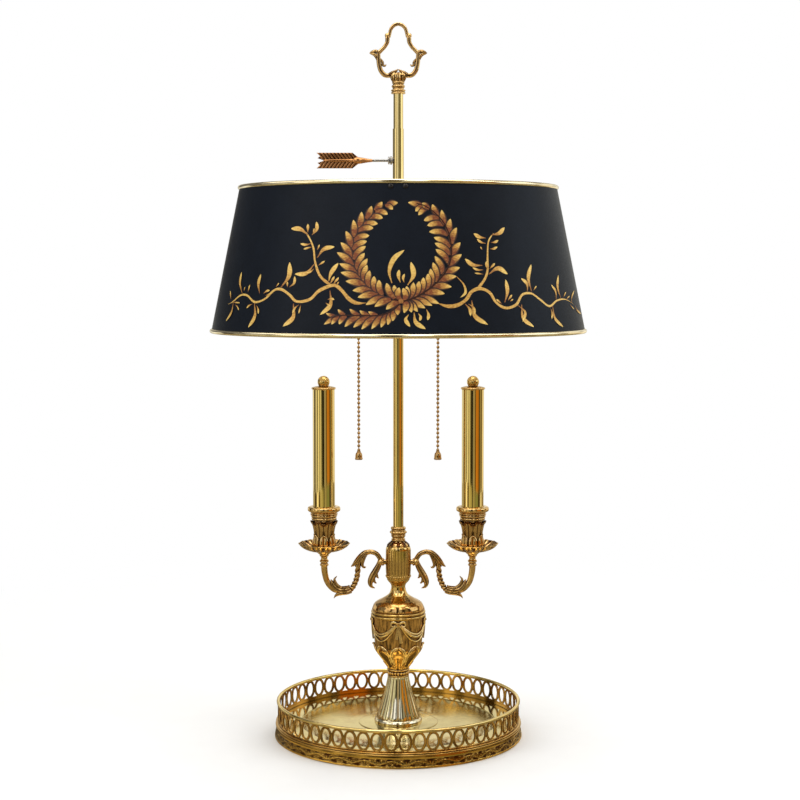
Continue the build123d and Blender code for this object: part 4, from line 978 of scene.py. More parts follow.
    def build_lamps(self) -> None:
        """Hang the soft boxes."""
        for name, place, size, power in self.lamps:
            data = bpy.data.lights.new(name, "AREA")
            data.shape = "RECTANGLE"
            data.size, data.size_y = size
            data.energy = power
            lamp = bpy.data.objects.new(name, data)
            lamp.location = place
            aim = Vector((0.0, 0.0, 0.3)) - Vector(place)
            lamp.rotation_euler = aim.to_track_quat("-Z", "Y").to_euler()
            lamp.visible_camera = False
            bpy.context.scene.collection.objects.link(lamp)

    def build_camera(self) -> None:
        """Set up the camera."""
        data = bpy.data.cameras.new("camera")
        data.lens = self.lens
        data.sensor_width = self.sensor
        data.clip_start = 0.05
        camera = bpy.data.objects.new("camera", data)
        camera.location = self.camera_place
        camera.rotation_euler = (math.radians(90 - self.camera_drop), 0.0, 0.0)
        bpy.context.scene.collection.objects.link(camera)
        bpy.context.scene.camera = camera

    def build(self) -> None:
        """Build all of it, and set the plain view transform."""
        bpy.context.scene.view_settings.view_transform = "Standard"
        self.build_world()
        self.build_floor()
        self.build_screens()
        self.build_lamps()
        self.build_camera()


BEAD, COVE, FILLET = Moulding.BEAD, Moulding.COVE, Moulding.FILLET


@dataclass
class Tray:
    """The engraved foot, the polished plate, the moulding, the pierced gallery and its rail."""

    foot_radius: float = 124.8
    foot_top_radius: float = 123.2
    foot_bottom: float = 0.3
    foot_top: float = 10.4
    foot_wall: float = 2.0
    sprays: int = 60
    spray_depth: float = 0.5
    bushing_gap: float = 4.2
    bore: float = 4.3
    plate_radius: float = 121.0
    plate_top: float = 11.8
    border_start: float = 98.0
    border_rise: float = 0.8
    moulding_inner: float = 119.8
    moulding_outer: float = 124.0
    moulding_top: float = 15.2
    gallery_radius: float = 121.1
    gallery_wall: float = 1.4
    gallery_top: float = 34.6
    oval_count: int = 57
    oval_wall: float = 2.4
    band_height: float = 1.3
    rail_radius: float = 1.7
    rail_height: float = 35.0

    def spray_relief(self, angle: np.ndarray, share: np.ndarray) -> np.ndarray:
        """Return the foot's chasing: two rows of small leaf sprays on a running stem."""
        on_face = smooth_step((share - 0.50) / 0.02) * smooth_step((0.75 - share) / 0.02)
        up = (share - 0.625) / 0.125
        turn = angle * self.sprays / TURN
        relief = bell_curve(up - 0.35 * np.sin(TURN * turn / 2), 0.13)
        for row, (height, lean) in enumerate(((-0.5, 1.0), (0.5, -1.0))):
            across = ((turn + 0.5 * row + 0.13 * np.sin(turn * 2.3)) % 1.0 - 0.5) * 2.4
            rise = (up - height) * lean
            reach = np.hypot(across, rise)
            veins = 0.5 + 0.5 * np.cos(9 * np.arctan2(across, rise) + 2.0 * reach)
            relief = np.maximum(relief, veins * bell_curve(reach - 0.45, 0.4) * (reach < 1.15))
            relief = np.maximum(relief, 0.8 * bell_curve(reach, 0.14))
        at_bushing = smooth_step(1.4 - np.abs(angle - TURN / 4) * self.foot_radius / self.bushing_gap / 1.6)
        return self.spray_depth * on_face * (relief * (1 - at_bushing) - 1)

    def build_foot(self, finishes: Finishes) -> None:
        """Make the foot band, with a foliage relief between two plain lips."""
        wide, slim, low, top = self.foot_radius, self.foot_top_radius, self.foot_bottom, self.foot_top
        draft = MeshDraft()
        draft.spun([
            (wide - 0.3, low), (wide, low + 0.5), (wide - 0.2, low + 1.6), (slim + 0.15, top - 1.3), (slim, top),
        ], slim - self.foot_wall, 1440, self.spray_relief, per_span=16)
        draft.make("foot_relief", "lamp", "engraved_brass", [finishes["engraved_brass"]], ["foot_band"])

    def build_plate(self, finishes: Finishes) -> None:
        """Make the plate with its raised border, and the moulding on it."""
        top, edge, rim = self.plate_top, self.border_start, self.moulding_inner - 0.6
        rise = top + self.border_rise
        draft = MeshDraft()
        draft.spun([
            (self.plate_radius, self.foot_top), (self.plate_radius, self.foot_top), (self.plate_radius, top),
            (self.plate_radius, top), (rim, top), (rim, top), (rim, rise), (rim, rise), (edge + 2.2, rise),
            (edge + 1.2, rise - 0.1), (edge + 0.5, top + 0.2), (edge, top), (edge, top),
        ], self.bore, 256, per_span=4)
        draft.make("tray_floor", "lamp", "polished_brass", [finishes["plate_brass"]], ["tray_plate"])
        draft = MeshDraft()
        outer = self.moulding_outer
        draft.spun([
            *stacked(top, (BEAD, outer, 1.5), (COVE, outer - 1.2, 0.5), (BEAD, outer - 0.3, 1.1)),
            (outer - 1.9, self.moulding_top), (outer - 2.6, self.moulding_top),
        ], self.moulding_inner, 288, per_span=4)
        draft.make("moulding", "lamp", "polished_brass", [finishes["gallery_brass"]], ["band_moulding"])

    def oval_frame(self) -> MeshDraft:
        """Return one upright oval frame at the front of the gallery, bent to its curve."""
        middle = (self.moulding_top + self.gallery_top) / 2
        half_width = TURN / self.oval_count * self.gallery_radius / 2 - self.oval_wall / 2 + 0.15
        half_height = (self.gallery_top - self.moulding_top) / 2 - self.oval_wall / 2 - 0.2
        angle = np.linspace(0, TURN, 44, endpoint=False)
        outward = np.stack([half_width * np.cos(angle), np.zeros_like(angle), half_height * np.sin(angle)], axis=1)
        draft = MeshDraft()
        draft.strip(outward + np.array([0.0, 0.0, middle]), outward, self.oval_wall / 2, self.gallery_wall / 2,
                    Section.DOUBLE_RIM, closed=True)
        points = draft.points[0]
        reach, turn = self.gallery_radius - points[..., 1], points[..., 0] / self.gallery_radius
        draft.points = [np.stack([reach * np.sin(turn), -reach * np.cos(turn), points[..., 2]], axis=-1)]
        return draft

    def build_gallery(self, finishes: Finishes) -> None:
        """Make the gallery, touching ovals between two thin bands, and its rolled rail."""
        low, high, wall = self.moulding_top, self.gallery_top, self.gallery_wall / 2
        draft = MeshDraft()
        draft.ring_of(self.oval_frame(), self.oval_count, phase=0.5)
        for bottom in (low, high - self.band_height):
            draft.spun(stacked(bottom, (BEAD, self.gallery_radius + wall, self.band_height)),
                       self.gallery_radius - wall, 288, per_span=2)
        draft.make("gallery_ovals", "lamp", "gallery_brass", [finishes["gallery_brass"]], ["gallery"])
        angle = np.linspace(0, TURN, 288, endpoint=False)
        path = np.stack([self.gallery_radius * np.cos(angle), self.gallery_radius * np.sin(angle),
                         np.full_like(angle, self.rail_height)], axis=1)
        draft = MeshDraft()
        draft.strip(path, np.array([0.0, 0.0, 1.0]), self.rail_radius, self.rail_radius, sides=16, closed=True)
        draft.make("rail", "lamp", "gallery_brass", [finishes["tube_brass"]], ["gallery_rail"])

    def build(self, finishes: Finishes) -> None:
        """Build the whole tray."""
        self.build_foot(finishes)
        self.build_plate(finishes)
        self.build_gallery(finishes)


@dataclass
class Stem:
    """The skirt, the reeded pedestal, the urn, the hub, the collars and the column."""

    bore: float = 4.3
    skirt_radius: float = 40.0
    plate_top: float = 11.8
    skirt_top: float = 12.8
    pedestal_outline: Tuple[Point2, ...] = (
        (24.0, 12.8), (24.0, 14.8), (22.9, 17.2), (19.0, 27.7), (14.3, 42.2), (11.2, 55.6), (10.8, 59.5),
    )
    reed_count: int = 14
    reed_depth: float = 0.7
    collar_bottom: float = 59.5
    urn_bottom: float = 67.0
    urn_top: float = 120.5
    urn_outline: Tuple[Point2, ...] = (
        (9.9, 67.0), (10.9, 70.2), (15.3, 76.4), (19.6, 82.2), (22.9, 87.6), (23.9, 93.8), (25.1, 107.0), (25.8, 120.5),
    )
    urn_leaves: int = 8
    ring_radius: float = 27.7
    ring_top: float = 126.5
    cover_outline: Tuple[Point2, ...] = (
        (25.9, 126.5), (26.2, 128.2), (25.3, 131.0), (23.5, 133.9), (20.2, 136.2), (16.2, 138.2), (12.4, 140.5),
    )
    neck_outline: Tuple[Point2, ...] = (
        (12.4, 140.5), (9.8, 142.5), (8.1, 145.4), (7.2, 149.0), (7.1, 151.0), (8.1, 153.4), (9.9, 155.4), (11.2, 157.2),
        (11.6, 158.7),
    )
    hub_bottom: float = 158.7
    hub_top: float = 191.5
    hub_radius: float = 12.7
    hub_ribs: int = 24
    hub_rib_depth: float = 0.2
    cap_top: float = 196.5
    collar_top: float = 211.0
    column_radius: float = 5.2
    column_wall: float = 0.95
    column_bottom: float = 199.0
    column_top: float = 468.0

    def reeds(self, angle: np.ndarray, share: np.ndarray) -> np.ndarray:
        """Return the relief of the pedestal's reeds, whose ends are round above its foot and below its neck."""
        across = (angle * self.reed_count / TURN + 0.5) % 1.0 * 2 - 1
        down = np.clip((0.42 - share) / 0.09, 0, 2) + np.clip((share - 0.9) / 0.05, 0, 2)
        shape = np.sqrt(np.clip(1 - across ** 2 - down ** 2, 0, 1))
        along = smooth_step((share - 0.30) / 0.05) * smooth_step((0.97 - share) / 0.04)
        return self.reed_depth * (shape - 1) * along * (1.25 - 0.6 * share)

    def build_pedestal(self, finishes: Finishes) -> None:
        """Make the skirt, the pedestal and its beaded collar."""
        radius, low, high, foot = self.skirt_radius, self.plate_top, self.skirt_top, self.pedestal_outline[0][0]
        draft = MeshDraft()
        draft.spun([(radius, low), (radius - 0.2, low + 0.35), (radius - 1.0, low + 0.6), (radius * 0.8, low + 0.75),
                    (foot + 1.0, high), (foot, high)], self.bore, 144)
        draft.make("skirt", "lamp", "polished_brass", [finishes["plate_brass"]], ["pedestal_skirt"])
        draft = MeshDraft()
        draft.spun(self.pedestal_outline, self.bore, 420, self.reeds, per_span=14, recess=0.35)
        draft.make("reeded_pedestal", "lamp", "polished_brass", [finishes["polished_brass"]], ["pedestal"])
        draft = MeshDraft()
        draft.spun(stacked(self.collar_bottom, (BEAD, 10.9, 1.3), (COVE, 9.0, 4.4), (BEAD, 11.5, 1.8)), self.bore)
        draft.bead_ring(10.2, self.collar_bottom + 3.5, 1.6, 22)
        draft.make("pedestal_beads", "lamp", "cast_brass", [finishes["cast_brass"]], ["pedestal_collar"])

    def on_urn(self, points: np.ndarray) -> np.ndarray:
        """Return (angle in degrees from the front, lift, height) points placed on the urn."""
        line = curve_through(self.urn_outline)
        radius = np.interp(points[..., 2], line[:, 1], line[:, 0]) + points[..., 1]
        angle = np.radians(points[..., 0])
        return np.stack([radius * np.sin(angle), -radius * np.cos(angle), points[..., 2]], axis=-1)

    def ribbon(self, draft: MeshDraft, rows: Sequence[Sequence[float]], height: float,
               section: Section = Section.ROUND, coat: int = 1) -> None:
        """Add a raised ribbon on the urn.

        Args:
            draft: the mesh that collects it.
            rows: (angle in degrees, lift, height, width) rows.
            height: how thick it is.
            section: its cross section.
            coat: the index of its finish.
        """
        line = curve_through(rows, 9)
        path = self.on_urn(line[:, :3])
        across = np.cross(unit(np.gradient(path, axis=0)), unit(path * np.array([1.0, 1.0, 0.0])))
        draft.strip(path, across, np.maximum(line[:, 3] / 2, 0.2), height / 2, section, sides=10, coat=coat)

    def dress_urn(self, draft: MeshDraft) -> None:
        """Add the urn's tall leaves with their doubled borders, and its bows, tails and swags."""
        half = 180 / self.urn_leaves
        for index in range(self.urn_leaves):
            middle = 2 * half * index
            self.ribbon(draft, [(middle, -0.6, 67.4, 9.0), (middle, -0.3, 74.0, 11.0), (middle, 0.0, 82.0, 14.5),
                                (middle, 0.3, 88.0, 10.5), (middle, 0.9, 91.4, 3.0)], 1.6, Section.STROKE, 0)
            for sign in (-1, 1):
                for reach, width in ((0.93, 1.9), (0.70, 1.1)):
                    self.ribbon(draft, [
                        (middle + sign * half * reach, 0.2, 67.6, width), (middle + sign * half * reach, 0.5, 75.0, width),
                        (middle + sign * half * reach, 0.6, 83.0, width),
                        (middle + sign * half * (reach - 0.2), 0.7, 88.4, width),
                        (middle + sign * half * (reach - 0.6), 0.9, 91.6, width), (middle, 1.2, 92.6, width),
                    ], 1.5)
            draft.ball(tuple(self.on_urn(np.array([middle, 1.3, 92.4]))), 1.25, 10)
            self.ribbon(draft, [(middle + half, 0.5, 67.8, 2.4), (middle + half, 1.1, 71.0, 3.6),
                                (middle + half, 1.5, 75.4, 0.5)], 1.5, Section.LEAF, 0)
        for start in (0.0, 90.0, 180.0, 270.0):
            for drop, lift, width in ((0.0, 0.9, 2.0), (2.6, 1.2, 2.2), (7.4, 0.8, 1.6)):
                self.ribbon(draft, [
                    (start + turn, lift, 116.0 - 10.6 * sag - drop * (0.3 + 0.7 * sag), width)
                    for turn, sag in ((6, 0.0), (14, 0.35), (28, 0.8), (45, 1.0), (62, 0.8), (76, 0.35), (84, 0.0))
                ], 2.0)
            for sign in (-1, 1):
                self.ribbon(draft, [
                    (start, 0.9, 116.2, 2.0), (start + sign * 6, 1.4, 118.6, 2.2), (start + sign * 13, 1.3, 118.8, 2.2),
                    (start + sign * 15, 1.1, 115.4, 2.1), (start + sign * 8, 1.1, 113.6, 2.0), (start, 0.9, 116.2, 2.0),
                ], 2.0)
            for end, foot in ((-4.5, 101.5), (6.5, 97.6)):
                self.ribbon(draft, [(start, 0.9, 115.6, 2.2), (start + end * 0.4, 1.1, 109.0, 2.8),
                                    (start + end, 0.9, foot, 3.4)], 1.6, Section.DOUBLE_RIM)
            draft.ball(tuple(self.on_urn(np.array([start, 1.1, 117.0]))), 1.8, 12)

    def build_urn(self, finishes: Finishes) -> None:
        """Make the urn, and the ring and the smooth cover on it."""
        draft = MeshDraft()
        draft.spun(self.urn_outline, self.bore, 128)
        self.dress_urn(draft)
        # The urn's body and tall leaves take the darkened brass, a painted shade, and its ribbons the brightened one, a
        # painted highlight.
        draft.make("urn_relief", "lamp", "cast_brass", [finishes["urn_brass_painted_shade"], finishes["swag_brass_painted_highlight"]], ["urn_body"])
        radius = self.ring_radius
        draft = MeshDraft()
        draft.spun(stacked(self.urn_top, (BEAD, radius, 2.8), (FILLET, radius - 1.8, 0.7), (BEAD, radius - 0.3, 2.5)),
                   self.bore, 128)
        draft.make("urn_band", "lamp", "polished_brass", [finishes["hub_brass"]], ["urn_ring"])
        draft = MeshDraft()
        draft.spun(self.cover_outline, self.bore, 128, per_span=8)
        draft.bead_ring(25.7, 127.9, 0.85, 66)
        draft.make("urn_dome", "lamp", "polished_brass", [finishes["urn_brass_painted_shade"]], ["urn_cover"])

    def hub_relief(self, angle: np.ndarray, share: np.ndarray) -> np.ndarray:
        """Return the relief of the hub's upright ribs."""
        rib = 0.5 + 0.5 * np.cos(self.hub_ribs * angle)
        return -self.hub_rib_depth * rib ** 2 * smooth_step((share - 0.25) / 0.05) * smooth_step((0.8 - share) / 0.05)

    def build_hub(self, finishes: Finishes) -> None:
        """Make the smooth neck, the ribbed hub, its leafy cap and the column's beaded collar."""
        draft = MeshDraft()
        draft.spun(self.neck_outline, self.bore, per_span=8)
        draft.bead_ring(6.9, 147.0, 0.55, 30)
        draft.make("neck", "lamp", "polished_brass", [finishes["hub_brass"]], ["hub_base"])
        low, top, radius = self.hub_bottom, self.hub_top, self.hub_radius
        draft = MeshDraft()
        draft.spun([(radius - 1.2, low), (radius - 0.5, low + 1.0), (radius - 0.4, low + 4.0), (radius - 0.1, low + 8.0),
                    (radius, low + 16.0), (radius - 0.1, top - 6.0), (radius - 0.2, top - 3.0), (radius - 0.9, top - 0.6),
                    (radius - 1.6, top)], self.bore, 240, self.hub_relief, recess=0.45)
        draft.bead_ring(radius - 0.7, low + 2.4, 1.0, 34)
        draft.make("ribbed_hub", "lamp", "polished_brass", [finishes["hub_brass"]], ["arm_hub"])
        draft = MeshDraft()
        draft.spun([(radius - 1.6, top), (radius - 1.7, top + 1.2), (9.6, top + 2.8), (7.4, top + 4.2), (6.6, self.cap_top)],
                   self.bore)
        petal = MeshDraft()
        petal.leaf([(0.0, -6.4, self.cap_top + 0.4), (0.0, -8.4, self.cap_top - 1.3), (0.0, -radius + 1.9, top + 1.5),
                    (0.0, -radius + 0.7, top - 0.6)], (1, 0, 0), 4.6, 1.2, teeth=3, full_at=0.6, blunt=0.5)
        draft.ring_of(petal, 10)
        draft.make("leafy_cap", "lamp", "cast_brass", [finishes["cast_brass"]], ["hub_cap"])
        draft = MeshDraft()
        low = self.cap_top
        draft.spun(stacked(low, (BEAD, 7.0, 2.0), (COVE, 6.2, 2.6), (BEAD, 7.2, 1.6), (COVE, 7.0, 1.2), (BEAD, 8.2, 3.2),
                           (COVE, 6.9, 1.4), (BEAD, 7.5, 2.5)), self.column_radius + 0.05)
        draft.bead_ring(7.6, low + 9.0, 1.05, 24)
        draft.bead_ring(6.9, low + 13.2, 0.8, 24)
        draft.make("beaded_collar", "lamp", "cast_brass", [finishes["cast_brass"]], ["column_collar"])

    def build(self, finishes: Finishes) -> None:
        """Build the whole stem."""
        self.build_pedestal(finishes)
        self.build_urn(finishes)
        self.build_hub(finishes)
        draft = MeshDraft()
        draft.spun([(self.column_radius, self.column_bottom), (self.column_radius, self.column_top)],
                   self.column_radius - self.column_wall, per_span=10)
        draft.make("column", "lamp", "tube_brass", [finishes["tube_brass"]], ["column_tube"])


@dataclass
class CandleArm:
    """One scrolled arm with its leaves, collar, drip pan, cup, brass candle, cap and ball.

    The arm's bars and leaves are (x, height, half width) rows, drawn for the right side.
    """

    side: Side
    offset: float = 74.5
    tube_top: float = 171.0
    root: Point2 = (17.8, 175.0)
    hub_radius: float = 12.8
    rope: Tuple[Point3, ...] = (
        (40.5, 172.4, 2.9), (41.0, 163.8, 3.0), (42.2, 157.6, 3.0), (44.4, 152.2, 3.0), (47.0, 148.2, 3.0), (50.4, 145.6, 2.9),
    )
    plain_bend: Tuple[Point3, ...] = (
        (53.0, 145.6, 2.5), (58.0, 145.4, 2.6), (64.6, 147.0, 2.7), (69.2, 151.4, 2.9), (72.2, 156.8, 3.0), (73.8, 163.4, 3.1),
        (74.4, 168.0, 3.2), (74.5, 171.4, 3.2),
    )
    fronds: Tuple[Tuple[Point3, ...], ...] = (
        ((16.6, 174.4, 2.4), (18.6, 178.9, 2.4), (22.1, 183.4, 2.4), (27.9, 185.3, 2.5), (32.9, 183.8, 2.6),
         (36.5, 179.7, 2.7), (39.7, 174.6, 2.9), (40.9, 169.6, 2.9)),
        ((27.9, 186.0, 1.4), (33.6, 184.6, 2.1), (38.6, 180.2, 2.4), (42.2, 175.6, 2.3), (45.1, 172.2, 1.4),
         (47.6, 170.5, 0.2)),
        ((32.2, 182.9, 1.3), (34.7, 178.9, 1.9), (36.1, 174.9, 1.9), (36.1, 171.5, 1.4), (34.4, 169.6, 0.9),
         (32.5, 169.9, 0.3)),
        ((35.8, 181.8, 1.1), (38.7, 176.7, 2.1), (40.5, 172.3, 1.9), (41.4, 168.0, 0.4)),
        ((47.3, 145.6, 2.0), (51.7, 144.1, 2.1), (56.7, 143.7, 2.3), (61.0, 142.3, 1.7), (63.5, 140.4, 0.9),
         (64.9, 138.3, 0.2)),
        ((48.8, 147.7, 2.1), (54.5, 146.3, 2.4), (60.3, 147.0, 2.6), (64.6, 150.3, 2.4), (66.7, 154.3, 1.6),
         (67.9, 157.2, 0.3)),
        ((48.8, 149.5, 1.6), (53.1, 148.8, 1.7), (58.1, 148.8, 1.7), (62.1, 151.7, 1.7), (63.9, 155.4, 1.4),
         (64.2, 157.6, 1.0), (61.8, 160.6, 0.2)),
        ((52.7, 147.7, 0.7), (51.6, 149.4, 1.0), (49.2, 151.2, 0.3)),
        ((18.4, 175.2, 2.5), (20.4, 170.4, 3.0), (22.9, 165.9, 3.3), (25.6, 161.0, 3.5), (27.6, 156.5, 3.2),
         (28.2, 153.0, 2.4), (26.8, 150.0, 1.5), (23.4, 148.4, 0.3)),
        ((20.8, 167.4, 0.6), (21.9, 163.5, 1.4), (21.2, 160.2, 1.1), (19.6, 158.6, 0.2)),
        ((23.6, 161.5, 0.6), (24.6, 157.6, 1.4), (23.6, 154.6, 1.0), (21.8, 153.4, 0.2)),
    )
    pan_bottom: float = 186.0
    pan_radius: float = 26.2
    pan_top: float = 194.6
    pan_lobes: int = 14
    cup_bottom: float = 187.4
    cup_radius: float = 16.4
    candle_radius: float = 11.0
    candle_wall: float = 0.7
    candle_bottom: float = 224.0
    candle_top: float = 349.0
    cap_radius: float = 12.2
    cap_top: float = 352.2
    ball_height: float = 356.5
    ball_radius: float = 6.1
    rod_hole: float = 2.05

    def make(self, draft: MeshDraft, name: str, slot: str, finish: bpy.types.Material, node: str) -> None:
        """Make a piece of this arm on its own side."""
        placed = draft if self.side is Side.RIGHT else draft.mirrored()
        placed.make(f"{name}_{self.side.name.lower()}", "lamp", slot, [finish], [node])

    def build_scroll(self, finishes: Finishes) -> None:
        """Make the arm: a leafy arch from the hub, a rope, a plain bend, and a hanging leaf."""
        draft = MeshDraft()
        draft.frond(self.plain_bend, lobes=0)
        draft.frond(self.rope, lobes=2, lobe_depth=0.42, twist=-3.6)
        for index, rows in enumerate(self.fronds):
            if rows[0][2] >= 2.4:
                draft.frond(rows)
                continue
            for offset in (-1.5, 1.5):
                draft.frond(rows, depth=0.95, offset=offset)
        x, height = self.root
        draft.ball((x, 0.0, height), 3.5, 20)
        path = np.linspace((x, 0.0, height), (self.hub_radius - 1.5, 0.0, height), 8)
        draft.strip(path, np.array([0.0, 1.0, 0.0]), 2.6, 2.6, sides=20)
        for angle in np.linspace(0, TURN, 9, endpoint=False):
            draft.ball((x - 2.4, 3.1 * math.cos(angle), height + 3.1 * math.sin(angle)), 1.0, 8)
        self.make(draft, "arm_scroll", "cast_brass", finishes["cast_brass"], f"arm_{self.side.name.lower()}")

    def pan_relief(self, angle: np.ndarray, share: np.ndarray) -> np.ndarray:
        """Return the drip pan's radial ribs, a deep one between two leaves and fine ones on each."""
        seam = 1 - np.abs(np.cos(self.pan_lobes / 2 * angle))
        veins = 0.5 + 0.5 * np.cos(self.pan_lobes * 2 * angle)
        return -(0.45 * bell_curve(seam - 1, 0.45) + 0.4 * veins) * smooth_step(share / 0.25)

    def build_pan(self, finishes: Finishes) -> None:
        """Make the ringed collar under the pan, and the lobed, leafy pan."""
        low, top, centre = self.tube_top, self.pan_bottom, (self.offset, 0.0)
        draft = MeshDraft()
        draft.spun([*stacked(low, (BEAD, 4.4, 2.8), (COVE, 3.3, 1.0), (BEAD, 4.5, 2.0), (COVE, 3.2, 4.6)), (4.6, 182.4),
                    (7.0, 184.6), (8.4, top)], self.rod_hole, 56, centre=centre, per_span=4)
        self.make(draft, "pan_ring", "cast_brass", finishes["cast_brass"], "pan_collars")
        radius, low, top = self.pan_radius, self.pan_bottom, self.pan_top
        sides, floor = 288, 9.0
        rim = np.linspace(0, TURN, sides, endpoint=False)
        lobe = np.abs(np.cos(self.pan_lobes / 2 * rim)) ** 0.8
        shell = MeshDraft()
        under = [(floor, low), (14.0, low + 0.6), (19.5, low + 2.6), (23.6, low + 5.2), (radius - 0.5, top - 1.0)]
        over = [(floor, low + 1.4), (14.0, low + 2.1), (19.2, low + 4.1), (23.0, low + 6.5), (radius - 0.9, top)]
        shell.turn(under, sides, self.pan_relief, per_span=7)
        shell.turn(over, sides, self.pan_relief, per_span=7)
        shell.turn([under[-1], (radius - 0.1, top - 0.4), over[-1]], sides, per_span=3)
        draft = MeshDraft()
        for points in shell.points:
            grid = points.reshape(-1, sides, 3)
            far = np.clip((np.linalg.norm(grid[..., :2], axis=-1) - 12.0) / 14.0, 0, 1)
            grid[..., :2] *= (1 - 0.035 * (1 - lobe) * far)[..., None]
            grid[..., 2] += 0.5 * (lobe - 1) * far ** 2
            points += np.array([self.offset, 0.0, 0.0])
        draft.take(shell)
        for start, end in ((low, low), (low + 1.4, low + 1.4)):
            draft.turn([(self.rod_hole, start), (floor, end)], sides, centre=centre, per_span=2)
        draft.turn([(self.rod_hole, low), (self.rod_hole, low + 1.4)], sides, centre=centre, per_span=2)
        self.make(draft, "leafy_pan", "cast_brass", finishes["cast_brass"], "drip_pans")

    def build_cup(self, finishes: Finishes) -> None:
        """Make the cup: a rolled rim, two rings, broad leaves with curled tips and a calyx."""
        low, rim, x = self.cup_bottom, self.cup_radius, self.offset
        centre, bore = (x, 0.0), self.candle_radius + 0.05
        draft = MeshDraft()
        draft.turn([
            (self.rod_hole, low), (self.rod_hole, low), (7.2, low), (7.2, low), (9.2, low + 1.6), (9.2, low + 6.0),
            (8.5, low + 12.0), (8.7, low + 18.0), (9.7, low + 24.0), (11.4, low + 29.6),
            *stacked(low + 30.6, (BEAD, 12.7, 3.0), (BEAD, 13.3, 2.8), (COVE, 13.2, 2.0)),
            (14.6, low + 38.8), (rim - 0.2, low + 40.0), (rim, low + 41.8), (rim - 0.4, low + 43.3), (rim - 1.6, low + 44),
            (rim - 1.6, low + 44), (bore + 0.6, low + 44), (bore, low + 43.5), (bore, low + 43.5),
            (bore, self.candle_bottom), (bore, self.candle_bottom), (self.rod_hole, self.candle_bottom),
            (self.rod_hole, self.candle_bottom), (self.rod_hole, low),
        ], 96, centre=centre, per_span=4)
        for radius, top, width, phase in ((8.9, 29.6, 8.2, 0.5), (8.3, 27.4, 6.4, 0.0)):
            broad = MeshDraft()
            broad.leaf([(x, -radius, low + 6.0), (x, -radius, low + 15), (x, -radius - 0.9, low + top - 7.0),
                        (x, -radius - 2.6, low + top - 1.6), (x, -radius - 4.2, low + top), (x, -radius - 4.4, low + top - 1.6)],
                       (1, 0, 0), width, 2.4, full_at=0.72, blunt=0.7)
            draft.ring_of(broad, 7, centre, phase)
        calyx = MeshDraft()
        calyx.leaf([(x, -8.6, low + 0.6), (x, -10.6, low + 4.0), (x, -10.2, low + 9.0), (x, -9.6, low + 13.4),
                    (x, -10.8, low + 16.0)], (1, 0, 0), 9.0, 2.6, full_at=0.5, blunt=0.75)
        draft.ring_of(calyx, 7, centre, 0.0)
        self.make(draft, "leafy_cup", "cast_brass", finishes["cast_brass"], "candle_cups")

    def build_candle(self, finishes: Finishes) -> None:
        """Make the candle's tube, its cap and the ball on it."""
        centre, top, high = (self.offset, 0.0), self.candle_top, self.cap_top
        inner = self.candle_radius - self.candle_wall
        draft = MeshDraft()
        draft.spun([(self.candle_radius, self.candle_bottom), (self.candle_radius, top)], inner, 128, centre=centre,
                   per_span=10)
        self.make(draft, "candle", "candle_brass", finishes["candle_brass"], "candle_tubes")
        draft = MeshDraft()
        draft.spun([(inner - 0.05, top - 4.0), (inner - 0.05, top - 4.0), (inner - 0.05, top), (inner - 0.05, top),
                    *stacked(top, (BEAD, self.cap_radius, 2.2)), (self.cap_radius - 3.2, high - 0.4),
                    (self.cap_radius - 5.0, high)], self.rod_hole, centre=centre, per_span=4)
        self.make(draft, "candle_cap", "cast_brass", finishes["cast_brass"], "candle_caps")
        draft = MeshDraft()
        draft.ball((self.offset, 0.0, self.ball_height), self.ball_radius, 40)
        draft.spun(stacked(high, (BEAD, 5.1, 1.4), (COVE, 3.4, 0.9)), 2.2, 48, centre=centre, per_span=4)
        self.make(draft, "candle_ball", "cast_brass", finishes["hub_brass"], "candle_balls")

    def build(self, finishes: Finishes) -> None:
        """Build the whole arm."""
        self.build_scroll(finishes)
        self.build_pan(finishes)
        self.build_cup(finishes)
        self.build_candle(finishes)


